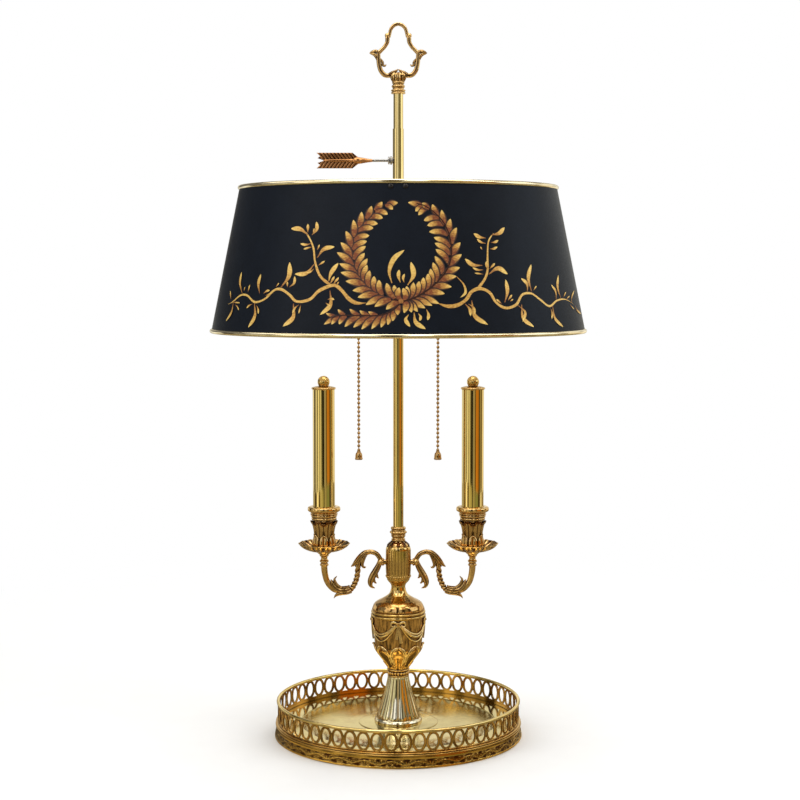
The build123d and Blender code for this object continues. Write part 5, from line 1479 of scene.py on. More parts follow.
@dataclass
class PullChain:
    """One bead chain: the stub that the switch holds, its coupling, the hanging beads and the bell."""

    side: Side
    offset: float = 39.5
    bead: float = 1.6
    pitch: float = 4.29
    link: float = 0.5
    stub_top: float = 459.8
    stub_count: int = 3
    coupling_top: float = 449.6
    coupling_bottom: float = 444.6
    coupling_radius: float = 2.15
    chain_top: float = 442.6
    chain_count: int = 37
    bell_top: float = 287.5
    bell_bottom: float = 278.5
    bell_radius: float = 3.9

    def beads(self, draft: MeshDraft, top: float, count: int) -> None:
        """Add a run of beads, and the wire through them."""
        x = self.side.value * self.offset
        for index in range(count):
            draft.ball((x, 0.0, top - self.pitch * index), self.bead, 16)
        bottom = top - self.pitch * (count - 1)
        path = np.linspace((x, 0.0, top), (x, 0.0, bottom), 4)
        draft.strip(path, np.array([1.0, 0.0, 0.0]), self.link, self.link, sides=8)

    def build(self, finishes: Finishes) -> None:
        """Build the stub, the chain and the bell."""
        word = self.side.name.lower()
        centre = (self.side.value * self.offset, 0.0)
        brass = [finishes["chain_brass"]]
        stub = MeshDraft()
        self.beads(stub, self.stub_top, self.stub_count)
        top, low, radius = self.coupling_top, self.coupling_bottom, self.coupling_radius
        stub.spun([(radius * 0.6, low), (radius * 0.9, low + 0.2), (radius, low + 1.0), (radius * 0.86, top - 2.5),
                   (radius, top - 1.0), (radius * 0.9, top - 0.2), (radius * 0.6, top + 0.3)], 0.0, 28, centre=centre)
        stub.make(f"switch_beads_{word}", f"pull_{word}", "chain_brass", brass, [f"chain_stub_{word}"])
        chain = MeshDraft()
        self.beads(chain, self.chain_top, self.chain_count)
        chain.make(f"bead_chain_{word}", f"chain_{word}", "chain_brass", brass, [f"chain_{word}"])
        top, low, radius = self.bell_top, self.bell_bottom, self.bell_radius
        bell = MeshDraft()
        bell.turn([
            (0.0, top), (0.0, top), (1.5, top - 0.1), (1.95, top - 0.7), (1.7, top - 1.4), (1.7, top - 1.4), (2.5, top - 1.9),
            (3.1, top - 3.0), (3.5, top - 4.6), (radius - 0.3, top - 6.6), (radius, top - 7.8), (radius - 0.1, low + 0.4),
            (radius - 0.6, low), (radius - 0.6, low), (radius - 1.2, low + 0.2), (1.8, low + 2.2), (0.0, low + 2.8),
        ], sides=48, centre=centre, per_span=4)
        bell.make(f"pull_bell_{word}", f"chain_{word}", "chain_brass", brass, [f"bell_{word}"])


@dataclass
class SleeveAndKey:
    """The guide rod, the sleeve that slides on it, the key's boss and the arrow key."""

    rod_radius: float = 4.8
    rod_wall: float = 1.2
    rod_bottom: float = 484.0
    rod_top: float = 647.0
    sleeve_radius: float = 5.45
    sleeve_bore: float = 4.86
    sleeve_bottom: float = 529.8
    sleeve_top: float = 606.5
    flange_radius: float = 8.0
    flange_bottom: float = 532.7
    flange_top: float = 535.7
    key_height: float = 575.5
    boss_start: float = 5.0
    boss_end: float = 10.4
    boss_radius: float = 4.2
    shank_radius: float = 1.3
    nose: float = 31.5
    vane_start: float = 43.2
    vane_half: float = 7.7
    vane_thickness: float = 1.7
    tail: Tuple[Point2, ...] = ((0.0, 73.0), (0.3, 79.9), (0.55, 77.2), (1.0, 80.7))
    barb_pitch: float = 3.6
    barb_slant: float = 0.75

    def build_tubes(self, finishes: Finishes) -> None:
        """Make the rod and the sleeve."""
        draft = MeshDraft()
        draft.spun([(self.rod_radius, self.rod_bottom), (self.rod_radius, self.rod_top)], self.rod_radius - self.rod_wall,
                   80, per_span=10)
        draft.make("rod", "lamp", "tube_brass", [finishes["tube_brass"]], ["guide_rod"])
        outer, flange, foot, top = self.sleeve_radius, self.flange_radius, self.flange_bottom, self.flange_top
        draft = MeshDraft()
        draft.spun([(outer, self.sleeve_bottom), (outer, foot), (outer, foot), (flange, foot), (flange, foot), (flange, top),
                    (flange, top), (outer, top), (outer, top), (outer, self.sleeve_top)], self.sleeve_bore, 80)
        draft.make("sleeve_tube", "sleeve", "tube_brass", [finishes["tube_brass"]], ["shade_sleeve"])

    def on_key_axis(self, outline: Sequence[Point2], bore: float) -> MeshDraft:
        """Return a shape turned about the key's axis, from (radius, distance from the rod) points."""
        shape = MeshDraft()
        shape.spun(outline, bore, 40, per_span=4)
        shape.points = [
            np.stack([-points[..., 2], points[..., 1], self.key_height + points[..., 0]], axis=-1)
            for points in shape.points
        ]
        return shape

    def vane(self, sign: int) -> MeshDraft:
        """Return one side of the arrow's tail: a plate with slanting barbs and two ragged tips."""
        along = np.linspace(0, 1, 200)[:, None]
        across = np.linspace(0, 1, 22)[None, :]
        end = np.interp(across, *zip(*self.tail))
        start = self.nose + 2.0 + (self.vane_start - self.nose) * across ** 0.8
        distance = start + (end - start) * along
        groove = np.abs(np.sin(math.pi * (distance - self.barb_slant * self.vane_half * across) / self.barb_pitch))
        body = np.clip(np.minimum(along, 1 - along) * 25, 0, 1) * np.clip((1 - across) * 12, 0, 1)
        thick = self.vane_thickness / 2 * (0.3 + 0.7 * groove ** 0.7) * body ** 0.5
        height = self.key_height + sign * self.vane_half * across * np.ones_like(along)
        faces = [np.stack([-distance, depth * thick, height], axis=-1) for depth in (-1, 1)]
        draft = MeshDraft()
        tone = np.hstack([1 - groove, 1 - groove[:, ::-1]])
        # The upper vane gets a darker tone than the lower one, a painted shade; the barbs' grooves are darkened as
        # patina.
        tone = np.clip(tone ** 1.2 + (0.25 if sign > 0 else 0.1), 0, 1)
        draft.grid(np.hstack([faces[0], faces[1][:, ::-1]]), closed_columns=True, tone=tone)
        return draft

    def build_key(self, finishes: Finishes) -> None:
        """Make the boss and the arrow key."""
        start, end, radius, shank = self.boss_start, self.boss_end, self.boss_radius, self.shank_radius
        boss = self.on_key_axis([(radius * 0.66, start), (radius * 0.66, start), (radius * 0.66, start + 1.1),
                                 *stacked(start + 1.1, (BEAD, radius, 1.9), (FILLET, radius * 0.6, 0.5),
                                          (BEAD, radius - 0.3, 1.6))], shank + 0.27)
        boss.make("key_collar", "sleeve", "key_steel", [finishes["key_steel"]], ["key_boss"])
        draft = self.on_key_axis([(1.5, start - 0.1), (1.5, end + 0.1), (1.5, end + 0.1), (shank, end + 0.1),
                                  (shank, end + 0.1), (shank, self.nose - 6.0)], 0.0)
        for count in range(len(draft.coats)):
            draft.coats[count][:] = 1
        draft.take(self.on_key_axis([(shank, self.nose - 6.0), (1.7, self.nose - 3.0), (2.1, self.nose), (3.3, 38.5),
                                     (3.0, 43.0), (1.9, 46.0), (1.5, 56.0), (1.2, 72.0), (0.3, 74.0)], 0.0))
        for sign in (-1, 1):
            draft.take(self.vane(sign))
        draft.make("arrow", "arrow_key", "key_brass", [finishes["key_brass"], finishes["key_steel"]], ["arrow_key"])

    def build(self, finishes: Finishes) -> None:
        """Build the rod, the sleeve and the key."""
        self.build_tubes(finishes)
        self.build_key(finishes)


@dataclass
class Painting:
    """The gold wreath and vines, in millimetres across from the front middle and above the lower edge.

    A leaf of a vine is (root, tip, width, bend). A leaf of the wreath is only a tip: it grows from
    the stem, which its side leans along.
    """

    boss: Point2 = (2.6, 31.6)
    leaf_fullness: float = 1.35
    outer_leaf: Point3 = (12.5, 4.1, 0.5)
    inner_leaf: Point3 = (13.0, 3.4, 0.3)
    upper_leaf: Point3 = (7.0, 2.5, 0.5)
    lower_leaf: Point3 = (11.0, 3.4, 0.45)
    left_stem: Tuple[Point2, ...] = (
        (2.6, 31.6), (-9.3, 34.7), (-18.4, 37.8), (-27.5, 44.2), (-35.3, 53.0), (-40.4, 64.3), (-42.4, 76.8), (-40.7, 88.2),
        (-35.4, 98.6), (-27.6, 107.5), (-19.6, 114.9), (-11.1, 119.4), (-4.8, 120.9),
    )
    left_outer: Tuple[Point2, ...] = (
        (-0.3, 120.8), (-14.5, 121.7), (-24.2, 117.9), (-33.3, 112.6), (-40.8, 105.3), (-47.6, 95.1), (-52.2, 84.8),
        (-55.6, 75.7), (-53.3, 65.5), (-52.1, 57.5), (-47.5, 49.6), (-41.2, 41.1), (-36.6, 34.9), (-29.2, 28.2),
        (-21.2, 26.5), (-11.0, 24.2),
    )
    left_inner: Tuple[Point2, ...] = (
        (-4.8, 114.8), (-9.4, 110.3), (-13.9, 106.9), (-18.5, 101.8), (-22.5, 97.8), (-26.2, 91.0), (-28.4, 85.9),
        (-29.5, 81.3), (-30.4, 75.1), (-27.9, 70.0), (-28.1, 64.3), (-25.8, 59.2), (-21.8, 54.1), (-17.3, 50.7),
        (-10.5, 47.9), (-3.7, 46.2), (0.9, 44.0),
    )
    right_stem: Tuple[Point2, ...] = (
        (5.4, 31.6), (15.6, 34.9), (26.9, 41.7), (36.1, 49.6), (44.1, 59.8), (48.1, 71.2), (48.2, 82.5), (45.3, 95.0),
        (39.6, 105.3), (31.6, 113.2), (23.6, 118.3), (16.8, 120.2),
    )
    right_outer: Tuple[Point2, ...] = (
        (9.1, 121.1), (21.9, 120.6), (31.1, 119.5), (39.7, 114.4), (47.7, 106.5), (53.4, 98.5), (56.8, 84.9), (57.9, 74.0),
        (56.2, 62.1), (53.0, 54.1), (48.6, 44.5), (42.3, 38.3), (37.2, 29.3), (30.9, 27.6), (24.6, 25.3), (17.8, 22.0),
        (12.2, 21.4), (5.4, 20.9),
    )
    right_inner: Tuple[Point2, ...] = (
        (15.7, 113.1), (18.5, 109.7), (23.4, 104.6), (26.5, 100.1), (28.2, 94.4), (32.5, 89.3), (33.3, 84.2), (34.1, 78.5),
        (33.3, 72.3), (31.5, 66.6), (29.3, 60.9), (27.0, 56.4), (23.0, 53.0), (19.0, 49.6), (13.9, 48.5), (7.7, 45.1),
        (4.3, 43.4),
    )
    tail_stem: Tuple[Point2, ...] = (
        (0.9, 28.8), (-3.7, 24.3), (-10.5, 20.5), (-19.5, 18.5), (-32.0, 18.6), (-44.5, 18.8), (-53.7, 18.5), (-60.6, 16.1),
    )
    tail_upper: Tuple[Point2, ...] = ((-65.8, 20.6), (-54.8, 24.1), (-44.0, 24.5), (-34.8, 23.1), (-26.9, 22.3))
    tail_lower: Tuple[Point2, ...] = (
        (-67.4, 10.4), (-60.5, 10.5), (-53.6, 10.5), (-48.5, 8.3), (-40.5, 7.8), (-33.1, 6.2), (-24.0, 6.5), (-15.5, 7.9),
        (-9.3, 10.2), (-4.8, 13.6), (-0.3, 19.2),
    )
    heart: Tuple[Tuple[Tuple[Point2, ...], float], ...] = (
        (((-5.7, 47.9), (-8.0, 58.7), (-3.7, 70.0), (5.6, 77.9)), 5.0), (((2.0, 48.5), (0.3, 54.1), (0.9, 60.0)), 3.5),
        (((5.4, 48.5), (4.5, 52.4), (5.7, 56.2)), 2.5), (((8.6, 46.0), (13.9, 55.3), (11.6, 67.1)), 5.0),
        (((9.3, 19.4), (6.9, 14.7), (10.8, 8.5)), 3.7), (((14.4, 21.2), (16.1, 12.4), (24.8, 6.5)), 4.4),
        (((18.2, 20.5), (20.3, 17.5), (19.5, 13.8)), 2.7), (((25.6, 24.2), (27.5, 19.1), (26.7, 14.4)), 3.0),
        (((53.0, 53.9), (59.5, 46.7), (61.2, 39.4), (56.6, 34.6)), 2.5), (((-63.2, 49.6), (-60.7, 57.5), (-54.4, 66.1)), 4.6),
    )
    vines: Tuple[Tuple[Tuple[Point2, ...], float], ...] = (
        (((-60, 45), (-71, 54), (-76, 67), (-78, 81), (-84, 93), (-90, 96)), 3.0),
        (((71, 41), (79, 51), (82, 60), (82, 72), (83, 86), (88, 94)), 3.0),
        (((-29, 30), (-38, 30), (-45, 34), (-52, 42), (-59, 46), (-72, 41), (-81, 33), (-93, 31), (-100, 37), (-108, 42),
          (-115, 41), (-124, 33), (-134, 30), (-142, 36), (-149, 36), (-157, 30), (-163, 27)), 4.0),
        (((35, 30), (45, 27), (54, 28), (62, 33), (67, 40), (75, 43), (84, 39), (90, 30), (99, 25), (109, 28), (115, 37),
          (124, 38), (133, 32), (142, 26), (150, 31), (159, 32), (169, 27)), 4.0),
    )
    leaves: Tuple[Tuple[float, float, float, float, float, float], ...] = (
        (-83, 92, -99, 98, 3.4, -0.15), (-80, 84, -90, 84, 1.9, 0.1), (-79, 81, -87, 79, 1.5, 0),
        (-79, 92, -75, 104, 2.9, -0.2), (-83, 94, -83, 102, 2.2, 0), (-78, 93, -77, 98, 1.2, 0),
        (-74, 71, -58, 81, 3.2, 0.18), (-74, 78, -72, 83, 1.2, 0), (-73, 64, -67, 68, 1.5, 0),
        (-77, 65, -95, 56, 3.2, 0.2), (-77, 61, -84, 57, 1.5, 0.1),
        (-62, 47, -58, 54, 1.7, 0), (-59, 47, -54, 53, 1.7, 0), (-56, 46, -54, 49, 1.0, 0),
        (-62, 41, -71, 19, 3.2, 0.22), (-64, 33, -58, 33, 1.7, 0.1), (-66, 30, -62, 27, 1.2, 0),
        (-108, 44, -100, 67, 4.1, -0.15), (-102, 44, -102, 49, 1.5, 0), (-100, 44, -95, 54, 2.2, -0.2),
        (-113, 44, -110, 48, 1.0, 0), (-96, 29, -106, 8, 3.6, 0.22), (-91, 28, -97, 20, 1.7, -0.1),
        (-89, 28, -91, 20, 1.2, 0), (-129, 38, -128, 56, 2.9, 0.1), (-125, 38, -119, 41, 1.7, 0.1),
        (-123, 36, -118, 38, 1.0, 0), (-147, 38, -148, 58, 2.7, 0.1), (-141, 39, -139, 46, 1.5, 0),
        (-145, 40, -144, 44, 1.0, 0), (-134, 29, -140, 6, 3.2, 0.15), (-132, 27, -130, 19, 1.5, 0.1),
        (-136, 28, -142, 24, 1.5, -0.1), (-156, 30, -164, 11, 2.2, 0.1), (-159, 32, -160, 40, 1.5, 0),
        (-157, 29, -149, 29, 1.0, 0), (-154, 27, -150, 22, 1.2, 0.1),
        (86, 92, 98, 99, 3.2, -0.15), (80, 89, 69, 93, 2.9, 0.1), (80, 84, 72, 88, 1.9, 0.1),
        (85, 85, 92, 87, 1.9, -0.1), (84, 79, 91, 81, 1.7, -0.1), (77, 78, 75, 81, 1.0, 0),
        (77, 64, 61, 70, 3.2, 0.15), (78, 60, 68, 62, 1.7, 0.1), (78, 56, 70, 57, 1.2, 0),
        (82, 60, 81, 68, 2.2, 0.05), (83, 56, 101, 56, 3.6, 0.3), (84, 61, 89, 66, 1.7, 0),
        (67, 32, 82, 10, 3.4, -0.2), (64, 29, 70, 19, 1.7, 0.2), (61, 29, 66, 18, 2.2, 0.15),
        (98, 30, 99, 51, 3.2, -0.1), (101, 32, 105, 37, 1.5, 0), (95, 29, 90, 33, 1.5, 0),
        (103, 31, 106, 33, 1.0, 0), (124, 40, 124, 65, 3.4, 0.12), (120, 40, 114, 52, 2.7, -0.2),
        (126, 41, 129, 45, 1.0, 0), (114, 28, 126, 7, 3.2, -0.2), (111, 27, 115, 12, 2.2, 0.3),
        (149, 32, 144, 46, 2.2, -0.15), (154, 33, 152, 55, 2.9, 0.1), (157, 34, 160, 39, 1.2, 0),
        (160, 32, 164, 35, 1.0, 0), (145, 26, 156, 6, 2.7, -0.15), (143, 24, 144, 14, 1.7, 0.1),
        (166, 28, 170, 40, 1.5, 0.1), (170, 26, 178, 17, 1.7, -0.1), (164, 27, 169, 22, 1.0, 0),
    )


@dataclass
class Shade:
    """The oval shade with its rims, screws and hand-painted ornament."""

    bottom: float = 407.8
    top: float = 548.4
    bottom_half_width: float = 185.2
    top_half_width: float = 156.5
    oval_ratio: float = 0.82
    wall: float = 0.8
    rim_radius: float = 2.19
    screw_drop: float = 4.5
    screw_angles: Tuple[float, ...] = (-90.0, 30.0, 150.0)
    screw_spacing: float = 13.5
    paint_lift: float = 0.06
    paint_depth: float = 0.013
    layer_step: float = 0.015
    layers: int = 48
    painting: Painting = field(default_factory=Painting)
    layer: int = field(default=0, init=False)

    def half_width(self, height: np.ndarray) -> np.ndarray:
        """Return the half width of the outer face at heights above the lower edge."""
        share = height / (self.top - self.bottom)
        return self.bottom_half_width + share * (self.top_half_width - self.bottom_half_width)

    def arc_table(self) -> Tuple[np.ndarray, np.ndarray]:
        """Return angles from the front, and the distance along the shade's middle height to each."""
        angles = np.linspace(-math.pi, math.pi, 1441)
        half = float(self.half_width(np.array((self.top - self.bottom) / 2)))
        speed = half * np.hypot(np.cos(angles), self.oval_ratio * np.sin(angles))
        reach = np.concatenate([[0], np.cumsum((speed[1:] + speed[:-1]) / 2 * np.diff(angles))])
        return angles, reach - reach[len(reach) // 2]

    def flat(self, points: Sequence[Point2]) -> np.ndarray:
        """Return points' distances along the shade, from their distances to the lamp's middle plane."""
        angles, reach = self.arc_table()
        across, height = np.array(points, float).T
        angle = np.arcsin(np.clip(across / self.half_width(height), -0.999, 0.999))
        return np.stack([np.interp(angle, angles, reach), height, np.zeros_like(height)], axis=1)

    def wrap(self, points: np.ndarray) -> np.ndarray:
        """Return (distance along the shade, height above its lower edge, lift) points placed on its outer face."""
        angles, reach = self.arc_table()
        angle = np.interp(points[..., 0], reach, angles)
        half = self.half_width(points[..., 1])
        deep = half * self.oval_ratio
        normal = unit(np.stack([np.sin(angle) / half, -np.cos(angle) / deep, np.zeros_like(angle)], axis=-1))
        normal[..., 2] = (self.bottom_half_width - self.top_half_width) / (self.top - self.bottom)
        surface = np.stack([half * np.sin(angle), -deep * np.cos(angle), self.bottom + points[..., 1]], axis=-1)
        return surface + unit(normal) * points[..., 2:3]

    def paint(self, draft: MeshDraft, line: np.ndarray, widths: np.ndarray, root_tone: float, tip_tone: float,
              coat: int = 0) -> None:
        """Paint one stroke over the last ones.

        Args:
            draft: the mesh that collects the strokes.
            line: its middle, as (distance, height, 0) points.
            widths: half its width at each point.
            root_tone: tone where it starts.
            tip_tone: tone where it ends.
            coat: the index of its finish.
        """
        self.layer += 1
        lifted = line + np.array([0.0, 0.0, self.paint_lift + self.layer_step * (self.layer % self.layers)])
        across = np.cross(unit(np.gradient(lifted, axis=0)), np.array([0.0, 0.0, 1.0]))
        draft.strip(lifted, across, np.maximum(widths, 0.03), self.paint_depth, Section.STROKE, root_tone=root_tone,
                    tip_tone=tip_tone, coat=coat, wrap=self.wrap)

    def paint_drop(self, draft: MeshDraft, points: Sequence[Sequence[float]], width: float, root_tone: float = 0.8,
                   root_width: float = 0.2, taper: float = 0.34, full_at: float = 0.66,
                   flattened: bool = False) -> None:
        """Paint one plump leaf, slim at its darker root and blunt at its tip.

        Args:
            draft: the mesh that collects the strokes.
            points: the points that its middle passes through.
            width: its widest measure.
            root_tone: tone at the root.
            root_width: the share of its width at the root.
            taper: the share of its length over which the tip narrows.
            full_at: the share of its length at which it is widest.
            flattened: whether the points are already distances along the shade.
        """
        line = curve_through(points if flattened else self.flat(points), 9)
        share = np.linspace(0, 1, len(line))
        body = root_width + (1 - root_width) * smooth_step(share / full_at)
        body = body * np.sin(np.clip((1 - share) / taper, 0, 1) * math.pi / 2) ** 0.75
        self.paint(draft, line, width / 2 * body, root_tone, 0.0)

    def paint_vine(self, draft: MeshDraft, points: Sequence[Point2], width: float) -> None:
        """Paint a stem that thins out, a little uneven as a brush leaves it."""
        line = curve_through(self.flat(points), 7)
        share = np.linspace(0, 1, len(line))
        widths = width * (1 - 0.6 * share ** 0.8) * (1 + 0.12 * np.sin(share * 47.0) * np.sin(share * 23.0 + 1.0))
        self.paint(draft, line, widths / 2 * np.clip(np.minimum(share * 14, (1 - share) * 10), 0.15, 1), 0.5, 0.2)

    def paint_wreath(self, draft: MeshDraft, stem: Sequence[Point2], sides: Sequence[Tuple[Sequence[Point2], Point3]],
                     tone: float = 1.6) -> None:
        """Paint a thin stem and the leaves along it, the ones nearer its tip under the ones before.

        Args:
            draft: the mesh that collects the strokes.
            stem: the points that the stem passes through.
            sides: for each side the leaves' tips, and how far a root lies behind its tip, half the width and the taper.
            tone: the tone of the leaves' roots.
        """
        line = curve_through(self.flat(stem), 24)
        step = float(np.mean(np.linalg.norm(np.diff(line, axis=0), axis=1)))
        drops = []
        for tips, (lag, half, taper) in sides:
            for tip in self.flat(tips):
                nearest = int(np.argmin(np.linalg.norm(line - tip, axis=1)))
                slim = 1 - 0.18 * (nearest / len(line)) ** 6
                lag_here = lag * slim
                start = max(0, nearest - int(lag_here / step))
                root = line[start] + (tip - line[start]) * 0.07
                ahead = line[min(len(line) - 1, start + int(0.7 * lag_here / step))]
                drops.append((start, (root, (root + tip) * 0.38 + ahead * 0.24, tip), 2 * half * slim, taper))
        for _, points, width, taper in sorted(drops, key=lambda drop: -drop[0]):
            self.paint_drop(draft, points, width, tone, 0.6, taper, 0.4, True)
        self.paint(draft, line, np.linspace(0.75, 0.45, len(line)), 1.0, 1.0, 1)

    def build_painting(self, finishes: Finishes) -> None:
        """Paint the vines, their leaves, the wreath and its crossing."""
        art = self.painting
        draft = MeshDraft()
        for points, width in art.vines:
            self.paint_vine(draft, points, width)
        for x, height, tip_x, tip_height, width, bend in art.leaves:
            middle = ((x + tip_x) / 2 - (tip_height - height) * bend, (height + tip_height) / 2 + (tip_x - x) * bend)
            self.paint_drop(draft, ((x, height), middle, (tip_x, tip_height)), width * art.leaf_fullness, 0.85)
        for points, width in art.heart:
            self.paint_drop(draft, points, width, 0.55)
        draft.make("painted_vines", "shade", "black_enamel", [finishes["gilt_vine"]])
        draft = MeshDraft()
        self.layer = 0
        outer, inner = art.outer_leaf, art.inner_leaf
        self.paint_wreath(draft, art.tail_stem, [(art.tail_upper, art.upper_leaf), (art.tail_lower, art.lower_leaf)], 1.9)
        self.paint_wreath(draft, art.left_stem, [(art.left_outer, outer), (art.left_inner, inner)])
        self.paint_wreath(draft, art.right_stem, [(art.right_outer, outer), (art.right_inner, inner)])
        boss = self.flat([art.boss])[0]
        dot = MeshDraft()
        dot.ball((0.0, 0.0, 0.0), 2.2, 20, tone=0.85)
        dot.points = [self.wrap(boss + points * np.array([1.0, 1.0, 0.12]) + np.array([0.0, 0.0, 0.85]))
                      for points in dot.points]
        draft.take(dot)
        draft.make("painted_wreath", "shade", "black_enamel", [finishes["gilt_wreath"], finishes["stem_brown"]])

    def build_shell(self, finishes: Finishes) -> None:
        """Make the enamelled shell with its pale lining."""
        angles = np.linspace(0, TURN, 384, endpoint=False)
        heights = np.linspace(0, self.top - self.bottom, 18)[:, None]
        draft = MeshDraft()
        faces = []
        for inset, coat in ((0.0, 0), (self.wall, 1)):
            half = self.half_width(heights) - inset
            deep = self.half_width(heights) * self.oval_ratio - inset
            faces.append(np.stack([half * np.cos(angles), deep * np.sin(angles),
                                   self.bottom + heights * np.ones_like(angles)], axis=-1))
            draft.grid(faces[-1], closed_columns=True, coat=coat)
        for row in (0, -1):
            draft.grid(np.stack([faces[0][row], faces[1][row]]), closed_columns=True)
        draft.make("shade_shell", "shade", "black_enamel", [finishes["black_enamel"], finishes["cream_lining"]], ["shade"])

    def build_rims(self, finishes: Finishes) -> None:
        """Make the two rolled brass rims."""
        angles = np.linspace(0, TURN, 384, endpoint=False)
        for name, height in (("rim_top", self.top), ("rim_bottom", self.bottom)):
            half = float(self.half_width(np.array(height - self.bottom)))
            inset = self.wall / 2
            path = np.stack([(half - inset) * np.cos(angles), (half * self.oval_ratio - inset) * np.sin(angles),
                             np.full_like(angles, height)], axis=1)
            draft = MeshDraft()
            draft.strip(path, np.array([0.0, 0.0, 1.0]), self.rim_radius, self.rim_radius, sides=20, closed=True)
            draft.make(name, "shade", "rim_brass", [finishes["rim_brass"]], [f"shade_{name}"])

    def screw_place(self, angle: float, sideways: float) -> Tuple[np.ndarray, np.ndarray]:
        """Return where a line beside a spider's arm meets the shade, and the line's direction."""
        half = float(self.half_width(np.array(self.top - self.screw_drop - self.bottom)))
        deep = half * self.oval_ratio
        along = np.array([math.cos(math.radians(angle)), math.sin(math.radians(angle)), 0.0])
        start = np.array([-along[1], along[0], 0.0]) * sideways
        square = (along[0] / half) ** 2 + (along[1] / deep) ** 2
        middle = start[0] * along[0] / half ** 2 + start[1] * along[1] / deep ** 2
        rest = (start[0] / half) ** 2 + (start[1] / deep) ** 2 - 1
        reach = (math.sqrt(middle ** 2 - square * rest) - middle) / square
        return start + along * reach + np.array([0.0, 0.0, self.top - self.screw_drop]), along

    def build_screws(self, finishes: Finishes) -> None:
        """Make the dark domed screws with their slots, and their shanks through the wall."""
        screw = MeshDraft()
        screw.turn([(0.0, -4.6), (0.0, -4.6), (1.3, -4.6), (1.3, -4.6), (1.3, 0.0), (1.3, 0.0), (2.5, 0.0), (2.5, 0.0),
                    (2.4, 0.6), (1.8, 1.2), (0.9, 1.45), (0.0, 1.5)], sides=28, per_span=3)
        turned = screw.points[0]
        turned[:, 2] -= 0.5 * ((np.abs(turned[:, 0]) < 0.36) & (turned[:, 2] > 0.5))
        draft = MeshDraft()
        for angle in self.screw_angles:
            for sideways in (-self.screw_spacing / 2, self.screw_spacing / 2):
                place, along = self.screw_place(angle, sideways)
                axes = np.array([[-along[1], along[0], 0.0], [0.0, 0.0, 1.0], along])
                screw.points = [place + turned @ axes]
                draft.take(screw)
        draft.make("slotted_screws", "shade", "dark_screw", [finishes["dark_screw"]], ["shade_screws"])

    def build(self, finishes: Finishes) -> None:
        """Build the whole shade."""
        self.build_shell(finishes)
        self.build_rims(finishes)
        self.build_screws(finishes)
        self.build_painting(finishes)


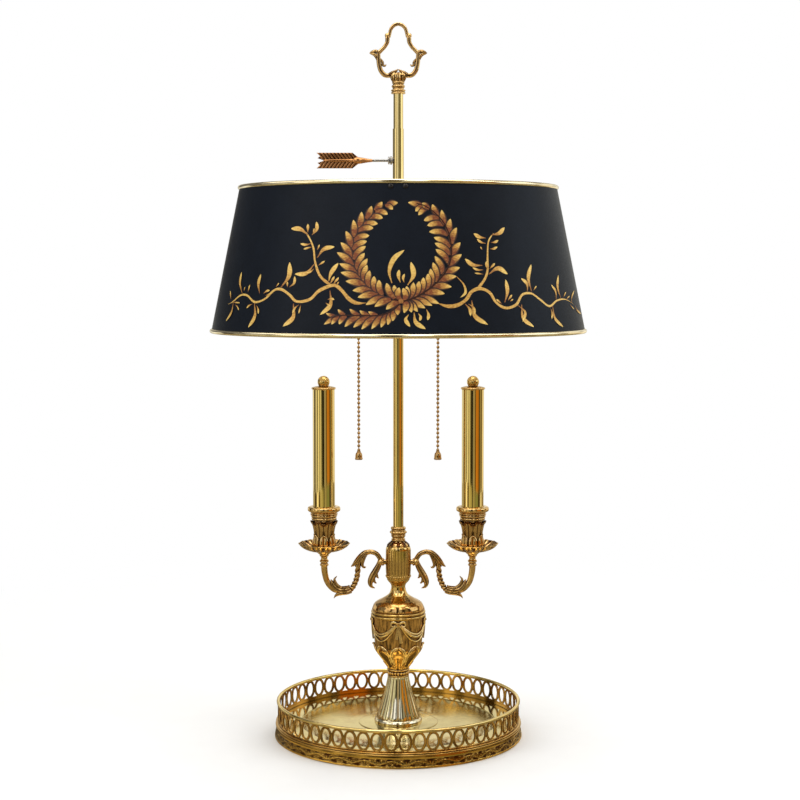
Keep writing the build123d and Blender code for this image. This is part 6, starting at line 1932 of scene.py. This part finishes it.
@dataclass
class Finial:
    """The ringed collar and the open loop of leafy scrolls, as (x, height, half width) rows of its right half."""

    bottom: float = 640.5
    collar_top: float = 654.1
    bore: float = 4.85
    seat_top: float = 647.0
    bars: Tuple[Tuple[Point3, ...], ...] = (
        ((0.0, 708.6, 1.9), (4.0, 707.1, 1.9), (7.0, 703.8, 1.9), (8.3, 699.6, 1.9), (9.4, 696.0, 2.2)),
        ((9.6, 698.0, 1.6), (10.5, 694.8, 2.5), (10.9, 690.8, 2.3), (13.2, 686.6, 2.1), (16.6, 683.0, 2.1), (19.5, 680.2, 2.3)),
        ((19.5, 680.0, 2.2), (19.4, 674.0, 2.5), (18.6, 668.0, 2.6), (16.9, 662.8, 2.6), (13.2, 658.9, 2.5), (8.0, 658.3, 2.3),
         (2.0, 658.6, 2.3)),
    )
    leaves: Tuple[Tuple[Point3, ...], ...] = (
        ((18.4, 680.2, 1.2), (21.8, 681.9, 1.7), (25.5, 681.2, 1.4), (28.3, 680.0, 0.3)),
        ((20.4, 673.0, 0.9), (21.6, 676.8, 1.7), (23.7, 678.9, 1.5), (27.6, 679.6, 0.3)),
        ((17.6, 674.5, 0.9), (15.4, 671.2, 1.3), (15.2, 668.7, 1.2), (13.2, 667.9, 0.9), (11.8, 669.2, 0.3)),
        ((8.7, 658.9, 2.0), (5.9, 661.0, 1.7), (2.4, 662.6, 1.3), (0.3, 664.4, 0.4)),
    )

    def build(self, finishes: Finishes) -> None:
        """Build the collar and the loop."""
        low, top = self.bottom, self.collar_top
        draft = MeshDraft()
        draft.turn([
            (self.bore, low), (self.bore, low),
            *stacked(low, (BEAD, 7.2, 1.7), (COVE, 6.2, 0.7), (BEAD, 7.2, 1.7), (COVE, 5.5, 2.2), (BEAD, 6.6, 2.2),
                     (COVE, 5.4, 1.4), (BEAD, 6.2, 2.2)), (5.9, top - 1.4), (4.8, top),
            (4.8, top), (0.0, top), (0.0, top), (0.0, self.seat_top), (0.0, self.seat_top), (self.bore, self.seat_top),
            (self.bore, self.seat_top), (self.bore, low),
        ], sides=80, per_span=4)
        draft.make("finial_rings", "lamp", "cast_brass", [finishes["cast_brass"]], ["finial_collar"])
        half = MeshDraft()
        for rows in self.bars:
            half.frond(rows, depth=1.05, lobes=4, lobe_depth=0.2)
        for rows in self.leaves:
            for offset in (-1.1, 1.1):
                half.frond(rows, depth=0.9, offset=offset, root_tone=0.35)
        half.ball((10.9, 0.0, 697.2), 2.4, 14)
        draft = MeshDraft()
        draft.take(half)
        draft.take(half.mirrored())
        draft.turn([(0.0, top - 3.0), (4.6, top - 2.0), (5.6, top), (6.3, top + 2.6), (6.3, top + 5.0), (5.0, top + 6.6),
                    (2.4, top + 7.2), (0.0, top + 7.4)], sides=48, per_span=5)
        petal = MeshDraft()
        petal.leaf([(0.0, -5.2, top - 1.6), (0.0, -6.6, top + 1.6), (0.0, -6.3, top + 4.6), (0.0, -4.2, top + 7.2)],
                   (1, 0, 0), 5.6, 2.2, teeth=3, full_at=0.5, blunt=0.6)
        draft.ring_of(petal, 7)
        draft.make("finial_scrolls", "lamp", "cast_brass", [finishes["cast_brass"]], ["finial_loop"])


def main() -> None:
    """Build the lamp and its studio in order."""
    logging.basicConfig(level=logging.INFO, format="%(name)s: %(message)s", stream=sys.stdout)
    Studio().build()
    log.info("studio built")
    workshop = Workshop()
    finishes = workshop.make()
    workshop.dress_kept_nodes(finishes)
    Tray().build(finishes)
    Stem().build(finishes)
    for side in Side:
        CandleArm(side).build(finishes)
        PullChain(side).build(finishes)
    SleeveAndKey().build(finishes)
    Shade().build(finishes)
    Finial().build(finishes)


if __name__ == "__main__":
    main()
